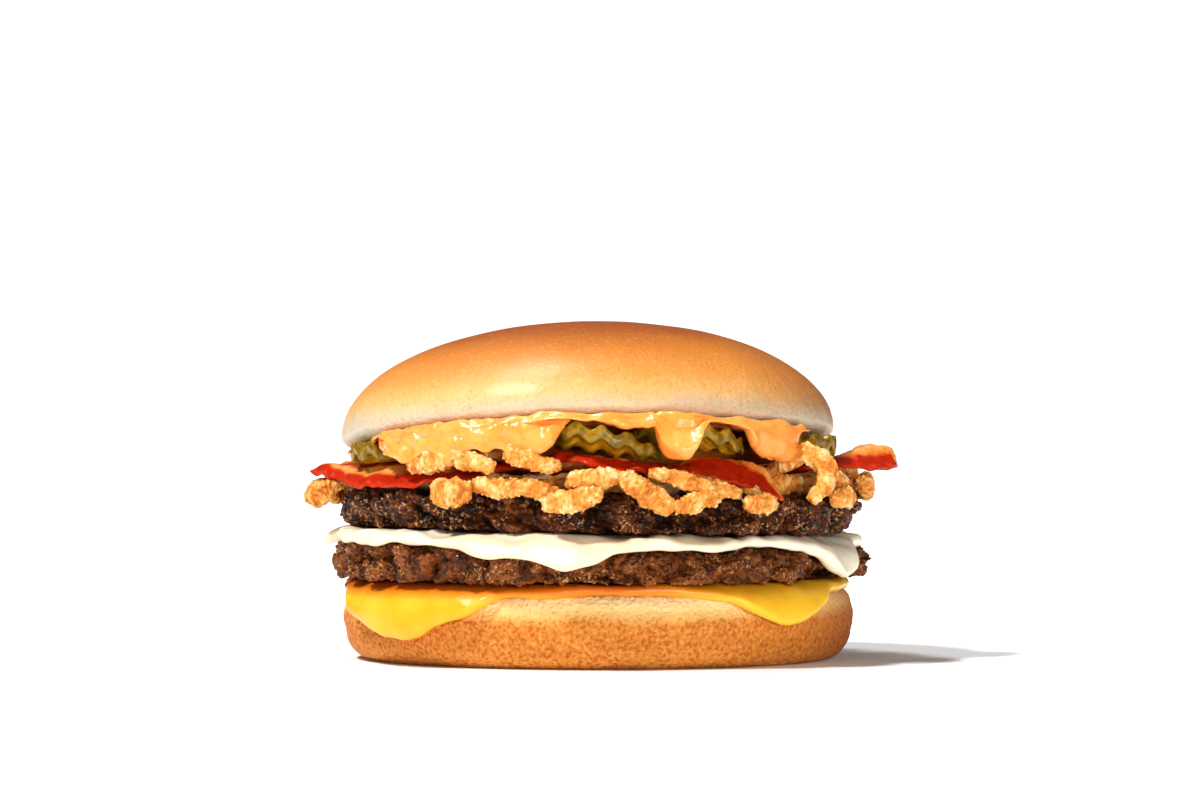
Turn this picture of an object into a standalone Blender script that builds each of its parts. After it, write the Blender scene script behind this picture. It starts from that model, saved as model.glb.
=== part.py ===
"""Double cheeseburger with bacon, crispy onions, pickle slices and sauce, at its real size.

Metres, +Z up, the front at -Y. The origin is the middle of the bottom bun's flat base.
An azimuth is an angle round the Z axis: 0 at the front, growing towards +X.
"""
import math
import random

import bmesh
import bpy
from mathutils import Vector

MM = 0.001
GAP = 0.3 * MM

# The stack, from the base up.
BUN_RADIUS = 51.0 * MM
HEEL_HEIGHT = 14.3 * MM
SLICE_THICKNESS = 1.7 * MM
PATTY_THICKNESS = 7.8 * MM
LOWER_PATTY_RADIUS = 53.8 * MM
UPPER_PATTY_RADIUS = 52.8 * MM
CREASE_DEPTH = 1.8 * MM
YELLOW_Z = HEEL_HEIGHT + GAP
LOWER_PATTY_Z = YELLOW_Z + SLICE_THICKNESS + GAP
WHITE_Z = LOWER_PATTY_Z + PATTY_THICKNESS + GAP
UPPER_PATTY_Z = WHITE_Z + SLICE_THICKNESS + GAP
ONION_Z = UPPER_PATTY_Z + PATTY_THICKNESS + GAP
ONION_CORE_TOP = 36.5 * MM
BACON_Z = 37.6 * MM

# Everything above the lower patty has settled towards the right.
SETTLE = math.tan(math.radians(1.0))
SETTLE_FROM = -38.0 * MM

# The top bun leans back, so that the front shows more of the filling.
CROWN_RADIUS = 49.0 * MM
CROWN_HEIGHT = 24.4 * MM
CROWN_RIM = (4.0 * MM, 2.4 * MM)
CROWN_X = -2.0 * MM
CROWN_Z = 42.6 * MM
CROWN_LEAN = math.radians(4.2)
CROWN_ROLL = math.radians(1.2)
CROWN_ARCH = 2.2 * MM
# Its cut face: distance from the middle and depth of the hollow.
CROWN_CUT = ((0, 3.0 * MM), (29 * MM, 2.2 * MM), (40 * MM, 1.0 * MM), (45 * MM, 0))

BACON_THICKNESS = 1.5 * MM
SAUCE_FLOOR = BACON_Z + BACON_THICKNESS / 2 + GAP
BACON_WIDTH = 18.0 * MM
PICKLE_HALF = (11.2 * MM, 10.5 * MM)
PICKLE_THICKNESS = 2.6 * MM
CRINKLE_PITCH = 4.8 * MM
CRINKLE_HEIGHT = 0.65 * MM
# Azimuth in degrees, then in mm the distance of the middle from the axis, its height, the rise of the outer
# edge, and in degrees the slope down to the right.
PICKLES = {
    "pickle_left": (-67, 41.0, 40.9, 0.4, -4.0),
    "pickle_front": (1, 41.0, 42.5, 2.2, 12.0),
    "pickle_front_right": (24, 41.0, 43.6, 1.6, 11.0),
    "pickle_right": (66, 39.5, 42.0, 0.8, 3.0),
    "pickle_back": (168, 38.6, 38.9, -0.5, 0.0),
}
# Crisp strips that lie along the rim, in degrees and mm: azimuth, height of the middle, length, fall to the
# right, width and distance from the axis.
FRONT_CRISPS = (
    (-31, 33.8, 9, 0, 5.6, 54.8),
    (-21.6, 34.8, 11, 5, 3.6, 53.2),
    (-13, 34.6, 11, 14, 3.4, 53.4),
    (-5, 32.6, 12, -10, 4.4, 54.8),
    (-1, 36.6, 11, -5, 3.8, 53.2),
    (10, 33.8, 13, 32, 4.6, 53.8),
    (21, 35.6, 20, 13, 3.4, 53.0),
    (20.4, 32.2, 9.5, -15, 3.8, 54.4),
    (35, 31.6, 8, 0, 3.8, 54.6),
    (61, 36.2, 9, 15, 3.0, 53.0),
    (61, 32.6, 9, 0, 4.2, 54.8),
    (80, 34.6, 8, 15, 4.4, 54.0),
)
SIDE_CRISPS = ((106, 36.2, 11, 0, 4.4, 52.8), (143, 37.2, 13, 6, 4.4, 52.6), (263, 36.0, 9, 0, 4.2, 52.8))
UPPER_CRISPS = (
    (-38, 39.6, 12, -8, 4.2, 52.6),
    (-27.5, 39.8, 11, 12, 3.8, 53.0),
    (-14, 40.0, 12, 14, 3.6, 52.8),
)
# The curled strip at the right: distance from the axis, azimuth in degrees, height.
CURL = (
    (42, 50, 36.2), (46.5, 50, 39.0), (51.5, 52, 41.2), (54.8, 54, 38.0), (55.2, 51.5, 34.0), (54.4, 48.5, 32.0),
)
# The clump that stands out on the left: azimuth in degrees, distance of its end, drop of its end, width.
CLUMP = ((-86, 57.2, 3.4, 5.6), (-78.5, 56.8, 3.0, 5.2), (-93, 56.0, 2.4, 5.0))


def azimuth_of(point):
    return math.atan2(point.x, -point.y)


def at_rim(radius, azimuth, height):
    return Vector((radius * math.sin(azimuth), -radius * math.cos(azimuth), height))


def smooth(low, high, value):
    share = min(max((value - low) / (high - low), 0.0), 1.0)
    return share * share * (3 - 2 * share)


def lobes(azimuth, table):
    """Sum of rounded bumps: each row is a centre in degrees, a height and a half width in degrees."""
    total = 0.0
    for centre, height, width in table:
        turn = math.remainder(azimuth - math.radians(centre), math.tau)
        total += height * math.exp(-((math.degrees(turn) / width) ** 2))
    return total


def waves(seed, count, turns, rise):
    """Seeded waves round the burger: whole turns, radians per mm of height, phase."""
    draws = random.Random(seed)
    rows = []
    for _ in range(count):
        rows.append((draws.randint(*turns), draws.uniform(-rise, rise), draws.uniform(0, math.tau)))
    return rows


def ripple(rows, azimuth, height):
    return sum(math.sin(n * azimuth + m * height / MM + phase) for n, m, phase in rows) / math.sqrt(len(rows))


def between(rows, position):
    """Straight interpolation in a table of (position, value)."""
    for (low, first), (high, second) in zip(rows, rows[1:]):
        if position <= high:
            return first + (second - first) * (position - low) / (high - low)
    return rows[-1][1]


def through(points, position):
    """A smooth curve through the points (Catmull-Rom), at a position from 0 to 1."""
    last = len(points) - 1
    step = min(int(position * last), last - 1)
    s = position * last - step
    rows = [points[min(max(step + k, 0), last)] for k in (-1, 0, 1, 2)]
    weights = (-s + 2 * s**2 - s**3, 2 - 5 * s**2 + 3 * s**3, s + 4 * s**2 - 3 * s**3, s**3 - s**2)
    return [sum(w * value for w, value in zip(weights, column)) / 2 for column in zip(*rows)]


def arc(centre, radii, start, end, count):
    """Points of an elliptic arc in a half section. Angles in degrees: 0 points out and 90 up."""
    turns = [math.radians(start + (end - start) * k / (count - 1)) for k in range(count)]
    return [(centre[0] + radii[0] * math.cos(t), centre[1] + radii[1] * math.sin(t)) for t in turns]


def food_material(name, colour, roughness):
    material = bpy.data.materials.new(name)
    material.use_nodes = True
    shader = material.node_tree.nodes["Principled BSDF"]
    shader.inputs["Base Color"].default_value = (*colour, 1)
    shader.inputs["Roughness"].default_value = roughness
    shader.inputs["Metallic"].default_value = 0
    return material


def add(name, mesh, material, location=(0, 0, 0), rotation=(0, 0, 0)):
    """A smooth-shaded object of the burger, on the burger's own empty."""
    obj = bpy.data.objects.new(name, mesh)
    burger_parts.objects.link(obj)
    mesh.shade_smooth()
    mesh.materials.clear()
    mesh.materials.append(material)
    obj.location = location
    obj.rotation_euler = rotation
    obj.parent = stand
    return obj


def evaluated_mesh(obj):
    bpy.context.view_layer.update()
    return bpy.data.meshes.new_from_object(obj.evaluated_get(bpy.context.evaluated_depsgraph_get()))


def turned(profile, steps):
    """Mesh of a half section, given from its top down its outer side, turned by a Screw modifier."""
    line = bpy.data.meshes.new("half_section")
    line.from_pydata([(r, 0, z) for r, z in profile], [(k, k + 1) for k in range(len(profile) - 1)], [])
    obj = bpy.data.objects.new("turning", line)
    burger_parts.objects.link(obj)
    screw = obj.modifiers.new("turn", "SCREW")
    screw.steps = screw.render_steps = steps
    screw.use_merge_vertices = True
    screw.merge_threshold = 0.00001
    mesh = evaluated_mesh(obj)
    bpy.data.objects.remove(obj)
    return mesh


def flat_sheet(columns, rows, thickness):
    """Mesh of a sheet from -1 to 1 both ways, given its thickness by Solidify, centred on Z = 0."""
    bpy.ops.mesh.primitive_grid_add(x_subdivisions=columns, y_subdivisions=rows, size=2)
    sheet = bpy.context.object
    shell = sheet.modifiers.new("thickness", "SOLIDIFY")
    shell.thickness = thickness
    shell.offset = 0
    mesh = evaluated_mesh(sheet)
    bpy.data.objects.remove(sheet)
    return mesh


def reshape(mesh, move):
    """Moves every vertex to where the function says."""
    for vertex in mesh.vertices:
        vertex.co = move(vertex.co)
    mesh.update()
    return mesh


def uneven_outline(point, amount, seed):
    """Grows or shrinks the plan by a few soft waves, as soft bread does."""
    azimuth = azimuth_of(point)
    wave = math.sin(2 * azimuth + seed) + 0.6 * math.sin(3 * azimuth + 2 * seed)
    wave += 0.4 * math.sin(5 * azimuth - seed)
    grow = 1 + amount * wave / 2
    return Vector((point.x * grow, point.y * grow, point.z))


def settled(x):
    """How far the filling above the lower patty has sunk, at this distance to the right."""
    return SETTLE * max(x - SETTLE_FROM, 0)


def make_heel():
    top_edge = 3.0 * MM
    foot = (5.5 * MM, 6.0 * MM)
    wall = BUN_RADIUS - 0.5 * MM
    profile = [(0, HEEL_HEIGHT), (0.7 * BUN_RADIUS, HEEL_HEIGHT)]
    profile += arc((wall - top_edge, HEEL_HEIGHT - top_edge), (top_edge, top_edge), 90, 0, 4)
    profile += [(BUN_RADIUS, (HEEL_HEIGHT - top_edge + foot[1]) / 2)]
    profile += arc((wall - foot[0], foot[1]), foot, 0, -90, 5) + [(0, 0)]
    mesh = reshape(turned(profile, 44), lambda p: uneven_outline(p, 0.006, 1.0))
    add("bun_bottom", mesh, food_material("toasted bun", (0.78, 0.33, 0.08), 0.6))


def draped_slice(outline, bend_radius, bend, steps):
    """A melted slice. Its underside lies flat out to bend_radius(azimuth), then turns down round an arc of
    radius bend and hangs. outline(azimuth) is how far the slice reaches along its own surface."""
    mesh = turned([(share, 0) for share in (2, 1.72, 1.46, 1.22, 1, 0.65, 0)], steps)

    def move(point):
        azimuth = azimuth_of(point)
        flat = bend_radius(azimuth)
        share = point.to_2d().length
        reach = min(share, 1) * flat + max(share - 1, 0) * (outline(azimuth) - flat)
        turn = min(max((reach - flat) / bend, 0.0), math.pi / 2)
        hang = max(reach - flat - bend * math.pi / 2, 0.0)
        across = min(reach, flat) + bend * math.sin(turn)
        return at_rim(across, azimuth, -bend * (1 - math.cos(turn)) - hang)

    reshape(mesh, move)
    mesh.flip_normals()
    return mesh


def thicken(obj, thickness):
    shell = obj.modifiers.new("thickness", "SOLIDIFY")
    shell.thickness = thickness
    shell.offset = 1


def make_yellow_slice():
    corners = [(-47, 10.5 * MM, 20), (44, 7.4 * MM, 15), (137, 9.0 * MM, 19), (-134, 8.0 * MM, 20)]
    mesh = draped_slice(
        lambda azimuth: 48.8 * MM + lobes(azimuth, corners),
        bend_radius=lambda azimuth: 47.2 * MM,
        bend=5.0 * MM,
        steps=48,
    )
    melted = food_material("yellow cheese", (0.95, 0.55, 0.03), 0.3)
    thicken(add("cheese_yellow", mesh, melted, (0, 0, YELLOW_Z)), SLICE_THICKNESS)


def make_white_slice():
    corners = [
        (-9, 5.2 * MM, 18), (67, 10.0 * MM, 10), (-93, 2.8 * MM, 12),
        (-48, 1.4 * MM, 18), (160, 8.0 * MM, 16), (-140, 4.0 * MM, 14),
    ]
    tucked = [(66, 3.8 * MM, 15)]
    mesh = draped_slice(
        lambda azimuth: 51.3 * MM + lobes(azimuth, corners) - lobes(azimuth, tucked),
        bend_radius=lambda azimuth: 48.8 * MM - lobes(azimuth, tucked),
        bend=7.5 * MM,
        steps=48,
    )
    reshape(mesh, lambda p: Vector((p.x, p.y, p.z - settled(p.x))))
    melted = food_material("white cheese", (0.93, 0.84, 0.66), 0.35)
    thicken(add("cheese_white", mesh, melted, (0, 0, WHITE_Z)), SLICE_THICKNESS)


def patty_mesh(radius, seed, outline, sag, settled_below):
    """A ground patty: rounded rim, uneven outline, and lumps with creases between them cut into the rim.

    outline(azimuth) is added to the radius and sag lowers the lower edge. settled_below is the share of the
    settling that its underside takes; its top takes all."""
    half = PATTY_THICKNESS / 2
    corner = (5.0 * MM, half)
    profile = [(0, PATTY_THICKNESS), (0.7 * radius, PATTY_THICKNESS)]
    profile += arc((radius - corner[0], half), corner, 90, -90, 8) + [(0.7 * radius, 0), (0, 0)]
    coarse = waves(seed, 7, (7, 17), 0.7)
    fine = waves(seed + 1, 7, (16, 27), 1.2)

    def move(point):
        azimuth = azimuth_of(point)
        reach = point.to_2d().length
        rim = smooth(0.88 * radius, 0.97 * radius, reach)
        crease = 1 - min(abs(ripple(coarse, azimuth, point.z)), 1)
        crease = 1.0 * crease + 0.7 * (1 - min(abs(ripple(fine, azimuth, point.z)), 1))
        edge = smooth(0.78 * radius, 0.92 * radius, reach)
        reach += edge * outline(azimuth) - rim * CREASE_DEPTH * crease * crease
        height = half + (point.z - half) * (1 - 0.12 * smooth(0.86 * radius, radius, reach) * crease)
        under = smooth(half, 0, point.z)
        height -= sag * smooth(0.93 * radius, radius, reach) * under
        share = settled_below + (1 - settled_below) * smooth(0, 0.8 * PATTY_THICKNESS, point.z)
        return at_rim(reach, azimuth, height - settled(point.x) * share)

    return reshape(turned(profile, 64), move)


def make_patties():
    beef = food_material("grilled beef", (0.12, 0.045, 0.018), 0.5)
    lower_outline = [(66, -4.4 * MM, 16), (-91, 0.6 * MM, 9), (93, 1.8 * MM, 9)]
    lower = patty_mesh(LOWER_PATTY_RADIUS, 3, lambda a: lobes(a, lower_outline), sag=1.6 * MM, settled_below=0)
    upper = patty_mesh(UPPER_PATTY_RADIUS, 8, lambda a: 0.0, sag=0.9 * MM, settled_below=1)
    add("patty_lower", lower, beef, (0, 0, LOWER_PATTY_Z))
    add("patty_upper", upper, beef, (0, 0, UPPER_PATTY_Z))


def crown_arch(y, z=0.0):
    return CROWN_ARCH * (y / CROWN_RADIUS) ** 2 * (1 - z / CROWN_HEIGHT)


def make_crown():
    widest = CROWN_RIM[1]
    profile = arc((0, widest), (CROWN_RADIUS, CROWN_HEIGHT - widest), 90, 0, 10)
    profile += arc((CROWN_RADIUS - CROWN_RIM[0], widest), CROWN_RIM, -30, -90, 3)
    profile += list(CROWN_CUT[-2::-1])
    mesh = reshape(
        turned(profile, 44),
        lambda p: uneven_outline(p, 0.004, 4.0) + Vector((0, 0, crown_arch(p.y, p.z))),
    )
    crust = food_material("golden crust", (0.80, 0.36, 0.09), 0.4)
    add("bun_top", mesh, crust, (CROWN_X, 0, CROWN_Z), (-CROWN_LEAN, -CROWN_ROLL, 0))


def crown_underside(radius, azimuth):
    """Height of the top bun's lower face and of the underside of its rim, at this distance from the axis."""
    spot = at_rim(radius, azimuth, 0)
    x, y = spot.x - CROWN_X, spot.y
    inside = math.hypot(x, y)
    start = CROWN_RADIUS - CROWN_RIM[0]
    rim = min(max((inside - start) / CROWN_RIM[0], 0), 1)
    local = between(CROWN_CUT, inside) + CROWN_RIM[1] * (1 - math.sqrt(1 - rim * rim))
    return CROWN_Z + local + crown_arch(y) - y * math.sin(CROWN_LEAN) + x * math.sin(CROWN_ROLL)


def frames_along(line, rings):
    """At each ring of a strip: its centre and the directions of its width, which starts upright, and thickness."""
    up, frames = Vector((0, 0, 1)), []
    for k in range(rings + 1):
        along = k / rings
        ahead = Vector(through(line, min(along + 0.04, 1))) - Vector(through(line, max(along - 0.04, 0)))
        ahead.normalize()
        up = (up - ahead * up.dot(ahead)).normalized()
        frames.append((Vector(through(line, along)), up, ahead.cross(up)))
    return frames


def crisp_piece(collection, line, width, thickness, seed, rings=6, neck=1.0):
    """A crisp strip: a long ball bent along a line of points, full to its ends, with lumps along it. It can
    start as a thinner neck, which swells to full width past its middle."""
    mesh = bpy.data.meshes.new("crisp")
    lumps = waves(seed, 4, (1, 3), 0.0)
    ball = bmesh.new()
    bmesh.ops.create_uvsphere(ball, u_segments=6, v_segments=rings, radius=1)
    frames = frames_along(line, rings)
    for vertex in ball.verts:
        along = 0.5 - math.asin(min(max(vertex.co.z, -1), 1)) / math.pi
        centre, across, out = frames[round(along * rings)]
        ring = math.hypot(vertex.co.x, vertex.co.y)
        full = ring ** -0.5 if ring > 0.01 else 0.0
        lump = 1 + 0.14 * ripple(lumps, math.atan2(vertex.co.y, vertex.co.x) + 9 * along, 0)
        lump *= neck + (1 - neck) * smooth(0.42, 0.78, along)
        section = across * vertex.co.x * width / 2 + out * vertex.co.y * thickness / 2
        vertex.co = centre + section * full * lump
    bmesh.ops.reverse_faces(ball, faces=ball.faces)
    ball.to_mesh(mesh)
    ball.free()
    collection.objects.link(bpy.data.objects.new("crisp", mesh))


def rim_crisp(collection, row, seed, root_height, last_root=math.tau):
    """A strip of the tables above, along the rim, and the short piece that joins its middle to the core. Roots of
    these pieces lie no further round than last_root."""
    azimuth, height, length, fall, width, reach = row
    middle, half, tilt = math.radians(azimuth), length * MM / 2, math.radians(fall)
    line = []
    for share in (-1, 0, 1):
        level = height * MM - share * half * math.sin(tilt)
        turn = middle + share * half * math.cos(tilt) / (reach * MM)
        line.append(at_rim((reach - 0.6 * abs(share)) * MM, turn, level))
    crisp_piece(collection, line, width * MM, 3.0 * MM, seed)
    root = min(middle, last_root)
    shoulder = at_rim(48.5 * MM, (root + middle) / 2, root_height)
    join = [at_rim(42 * MM, root, root_height), shoulder, line[1]]
    crisp_piece(collection, join, 1.9 * MM, 3.2 * MM, seed + 100, rings=4)


def heap(name, core, pieces, material):
    """One body from a core and its crisp strips, joined by one Boolean union."""
    body = add(name, core, material)
    union = body.modifiers.new("fuse", "BOOLEAN")
    union.operation = "UNION"
    union.operand_type = "COLLECTION"
    union.collection = pieces
    union.solver = "EXACT"
    joined = evaluated_mesh(body)
    body.modifiers.clear()
    body.data = joined
    joined.shade_smooth()
    joined.materials.clear()
    joined.materials.append(material)
    for piece in list(pieces.objects):
        bpy.data.objects.remove(piece)
    bpy.data.collections.remove(pieces)


def helper_collection(name):
    pieces = bpy.data.collections.new(name)
    bpy.context.scene.collection.children.link(pieces)
    return pieces


def back_crisps():
    draws = random.Random(11)
    return tuple(
        (
            azimuth + draws.uniform(-4, 4), draws.uniform(32.4, 34.4), draws.uniform(9, 15),
            draws.uniform(-22, 22), draws.uniform(3.8, 5.0), draws.uniform(54.0, 55.0),
        )
        for azimuth in range(100, 268, 17)
    )


def make_lower_onions(crisp):
    core_radius = 46.0 * MM
    height = ONION_CORE_TOP - ONION_Z
    profile = [(0, height), (0.8 * core_radius, height)]
    profile += arc((core_radius - height / 2, height / 2), (height / 2, height / 2), 90, -90, 4)
    profile += [(0.8 * core_radius, 0), (0, 0)]

    def sunk(point):
        share = 1 - point.z / height
        return Vector((point.x, point.y, point.z + ONION_Z - settled(point.x) * share))

    core = reshape(turned(profile, 28), sunk)
    pieces = helper_collection("lower_crisps")
    for count, row in enumerate(FRONT_CRISPS + SIDE_CRISPS + back_crisps()):
        rim_crisp(pieces, row, count, 35.6 * MM)
    curl = [at_rim(r * MM, math.radians(a), z * MM) for r, a, z in CURL]
    crisp_piece(pieces, curl, 4.0 * MM, 3.0 * MM, 51, rings=12)
    for count, (azimuth, reach, drop, width) in enumerate(CLUMP):
        line = [(42, 35.6), (49.5, 35.7), (55.0, 33.8), (reach, 33.8 - drop)]
        points = [at_rim(r * MM, math.radians(azimuth), z * MM) for r, z in line]
        crisp_piece(pieces, points, width * MM, 4.6 * MM, 52 + count, rings=8, neck=1.9 / width)
    heap("onions_lower", core, pieces, crisp)


def make_upper_onions(crisp):
    """The strips under the sauce at the front left, over the bacon."""
    bed = ((-46, 40.6), (-36, 40.6), (-26, 41.2), (-16, 42.2))
    middle = [at_rim(42.0 * MM, math.radians(a), z * MM) for a, z in bed]
    pieces = helper_collection("upper_crisps")
    crisp_piece(pieces, middle, 3.2 * MM, 11.0 * MM, 61)
    core = pieces.objects[0]
    pieces.objects.unlink(core)
    for count, row in enumerate(UPPER_CRISPS):
        rim_crisp(pieces, row, 70 + count, (40.6, 40.8, 42.0)[count] * MM, math.radians(-21))
    heap("onions_upper", core.data, pieces, crisp)
    bpy.data.objects.remove(core)


def bacon_mesh(stations, columns, rows):
    """A rippled strip between a front and a back edge. Each station, in mm: front x, y, z, back x, y, z, and how
    high the strip arches just behind its front edge."""

    def move(point):
        front_x, front_y, front_z, back_x, back_y, back_z, crest = through(stations, (point.x + 1) / 2)
        back = (point.y + 1) / 2
        arch = crest * math.sin(math.pi * min(back / 0.6, 1)) ** 2
        level = front_z + (back_z - front_z) * smooth(0, 0.6, back) + arch
        spot = Vector((front_x + (back_x - front_x) * back, front_y + (back_y - front_y) * back, level))
        return spot * MM + Vector((0, 0, point.z))

    return reshape(flat_sheet(columns, rows, BACON_THICKNESS), move)


def make_bacon():
    cured = food_material("bacon", (0.52, 0.07, 0.02), 0.35)
    # Azimuth in degrees, then in mm the front edge's distance from the axis, its height and the arch behind it.
    front_edge = [
        (-86, 57.6, 38.2, 0.2), (-79, 54.8, 37.6, 0.2), (-74, 53.0, 36.6, 0.6), (-65, 52.2, 35.6, 1.5),
        (-48.5, 52.2, 35.9, 1.4), (-38.6, 51.6, 36.6, 1.0), (-29.6, 49.0, 37.8, 0.6), (-19.5, 47.6, 39.2, 0.6),
        (-9.6, 48.6, 40.8, 0.6), (-4, 49.6, 40.4, 0.8), (1.2, 50.2, 39.2, 1.4), (5, 50.4, 38.8, 1.4),
        (12.2, 50.4, 38.7, 0.4), (18.5, 50.6, 38.3, 0.2), (23.2, 51.0, 37.6, 2.0), (27.8, 51.6, 37.0, 2.6),
        (32.7, 52.2, 35.7, 2.8), (37.9, 53.0, 34.2, 2.6), (42, 53.6, 33.2, 2.4),
    ]
    stations = []
    for azimuth, reach, height, crest in front_edge:
        front = at_rim(reach, math.radians(azimuth), height)
        back = at_rim(reach - BACON_WIDTH / MM, math.radians(azimuth), BACON_Z / MM)
        stations.append((*front, *back, crest))
    add("bacon_front", bacon_mesh(stations, 30, 4), cured)
    level = BACON_Z / MM
    stations = [
        (-55, 22, 37.2, -48, 37, 37.2, 0.6), (-50, 18, 38.2, -43, 34, 38.1, 0.3),
        (-41, 13.4, 38.1, -35, 30.4, 38.1, 0), (-32, 10, level, -27, 27.6, level, 0),
        (-20, 6, level, -16, 24, level, 0), (0, -1, level, 3, 17, level, 0), (20, -8, level, 23, 10, level, 0),
        (36, -14, level, 37, 4, level, 0), (44, -15, 38.6, 44.5, 3, 38.6, 0.4),
        (49, -14.8, 38.6, 49, 3, 40.0, 0.8), (53.5, -14, 38.2, 52, 3.6, 41.6, 0.4),
        (57, -11, 38.2, 55.4, 4.6, 41.8, 0.2), (59.6, -7, 38.8, 58.4, 4, 41.0, 0.4),
    ]
    add("bacon_right", bacon_mesh(stations, 24, 3), cured)


def pickle_level(name, across, out):
    """Height of the middle of a slice, and the share of its full thickness and waviness, at a point measured
    from its middle: across to the right and out from the axis. Its inner part is pressed flat by the bun."""
    _, _, height, rise, slope = PICKLES[name]
    outer = smooth(-4 * MM, 8 * MM, out)
    level = height * MM + rise * MM * smooth(2 * MM, PICKLE_HALF[1], out)
    return level - across * math.tan(math.radians(slope)) * (0.45 + 0.55 * outer), 0.58 + 0.42 * outer


def make_pickles():
    """Crinkle-cut slices, half out of the front of the burger."""
    brined = food_material("pickle", (0.24, 0.20, 0.02), 0.3)
    for name, (azimuth, distance, _, _, _) in PICKLES.items():
        middle = math.radians(azimuth)

        def move(point, name=name, distance=distance * MM, middle=middle):
            across = point.x * PICKLE_HALF[0]
            out = -point.y * PICKLE_HALF[1] * math.sqrt(max(1 - point.x**2, 0.09))
            level, share = pickle_level(name, across, out)
            wave = CRINKLE_HEIGHT * math.cos(math.tau * across / CRINKLE_PITCH)
            flat = at_rim(distance + out, middle, 0) + at_rim(across, middle + math.pi / 2, 0)
            return flat + Vector((0, 0, level + share * (wave + point.z)))

        add(name, reshape(flat_sheet(21, 3, PICKLE_THICKNESS), move), brined)


def pickle_top(radius, azimuth):
    """Top of any pickle slice at this place, with room for its waves, or a very low height where there's none."""
    top = -1.0
    margin = 2.0 * MM
    for name, (centre, distance, _, _, _) in PICKLES.items():
        turn = azimuth - math.radians(centre)
        across, out = radius * math.sin(turn), radius * math.cos(turn) - distance * MM
        if math.hypot(across / (PICKLE_HALF[0] + margin), out / (PICKLE_HALF[1] + margin / 2)) < 1:
            level, share = pickle_level(name, across, out)
            top = max(top, level + share * (PICKLE_THICKNESS / 2 + CRINKLE_HEIGHT) + 0.2 * MM)
    return top


def sauce_section(azimuth):
    """Half section of the sauce at one azimuth: a sheet under the top bun, a lip up its rim and a hanging
    edge."""
    rim = CROWN_RADIUS + CROWN_X * math.sin(azimuth)
    base = crown_underside(rim - CROWN_RIM[0], azimuth)
    drips = [(-34, 1.6, 17), (-8, 1.6, 4), (14.5, 5.6, 4.5), (43, 4.8, 7)]
    # How far the edge shows past the top bun: all of it at the front, none at the sides and the back.
    show = smooth(math.radians(67), math.radians(51), abs(azimuth))
    low = base - (0.9 + 0.7 * show + lobes(azimuth, drips)) * MM
    covered = [r * MM for r in range(44, 53) if pickle_top(r * MM, azimuth) > 0]
    hanging = abs(math.degrees(azimuth) - 14.5) < 4.5
    if covered and not hanging:
        low = max(low, pickle_top(covered[-1], azimuth) + GAP)
    lip = max(base + (0.7 + lobes(azimuth, [(0, 0.4, 50)])) * MM, low + 0.9 * MM)
    near_drip = covered and abs(math.degrees(azimuth) - 14.5) < 13
    inner_side = max(covered[-1] + 1.0 * MM - rim, 0.3 * MM) if near_drip else 0.3 * MM

    def over(radius):
        return crown_underside(radius, azimuth) - 1.5 * GAP

    def under(radius):
        return min(max(over(radius) - 0.9 * MM, pickle_top(radius, azimuth) + GAP), over(radius) - 0.25 * MM)

    bulge = 0.6 * MM * lobes(azimuth, [(-40, 1, 20), (14.5, 1.6, 5), (41, 1, 9)])
    tuck = rim - (1.6 + 5.5 * (1 - show) * lobes(azimuth, [(-72, 1, 13), (72, 1, 13)])) * MM
    wall_top = low + 0.3 * MM
    if covered and hanging:
        wall_top = pickle_top(covered[-1], azimuth) + GAP
    top, low = over(tuck), min(low, over(tuck) - 0.9 * MM) if show < 1 and not covered else low
    edge = [
        (0.45 * MM, lip, -1.3 * MM, top - 0.05 * MM),
        (1.3 * MM, lip - 0.1 * MM, -1.0 * MM, top - 0.2 * MM),
        (2.2 * MM + bulge, (lip + base) / 2 - 0.6 * MM, -0.8 * MM, top - 0.4 * MM),
        (inner_side + 1.8 * MM + bulge, (2 * low + base) / 3, -0.8 * MM, top - 0.6 * MM),
        (inner_side + 1.0 * MM + bulge, low, -1.0 * MM, low),
        (inner_side, low + 0.1 * MM, -1.3 * MM, low + 0.1 * MM),
    ]
    edge.append((inner_side, wall_top, -1.4 * MM, min(wall_top, top - 0.4 * MM)))
    inner = (min(45 * MM, tuck - 0.8 * MM), min(41 * MM, tuck - 3.0 * MM))
    section = [(r, over(r)) for r in (0, 30 * MM, *inner[::-1], tuck)]
    for shown, level, hidden, hidden_level in edge:
        inside = tuck + 1.6 * MM + hidden
        section.append((inside + (rim + shown - inside) * show, hidden_level + (level - hidden_level) * show))
    section += [(tuck, min(under(tuck), top - 0.3 * MM))]
    # At the back the sauce fills the space under the top bun, except round the pickle there.
    fill = smooth(math.radians(86), math.radians(98), abs(azimuth))
    fill *= 1 - min(lobes(azimuth, [(168, 2.0, 16)]), 1)
    for reach, share in ((inner[0], 0), (inner[1], 0.4), (35 * MM, 1), (30 * MM, 1)):
        section.append((reach, under(reach) + (SAUCE_FLOOR - under(reach)) * share * fill))
    return section + [(25 * MM, SAUCE_FLOOR), (0, SAUCE_FLOOR)]


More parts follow.
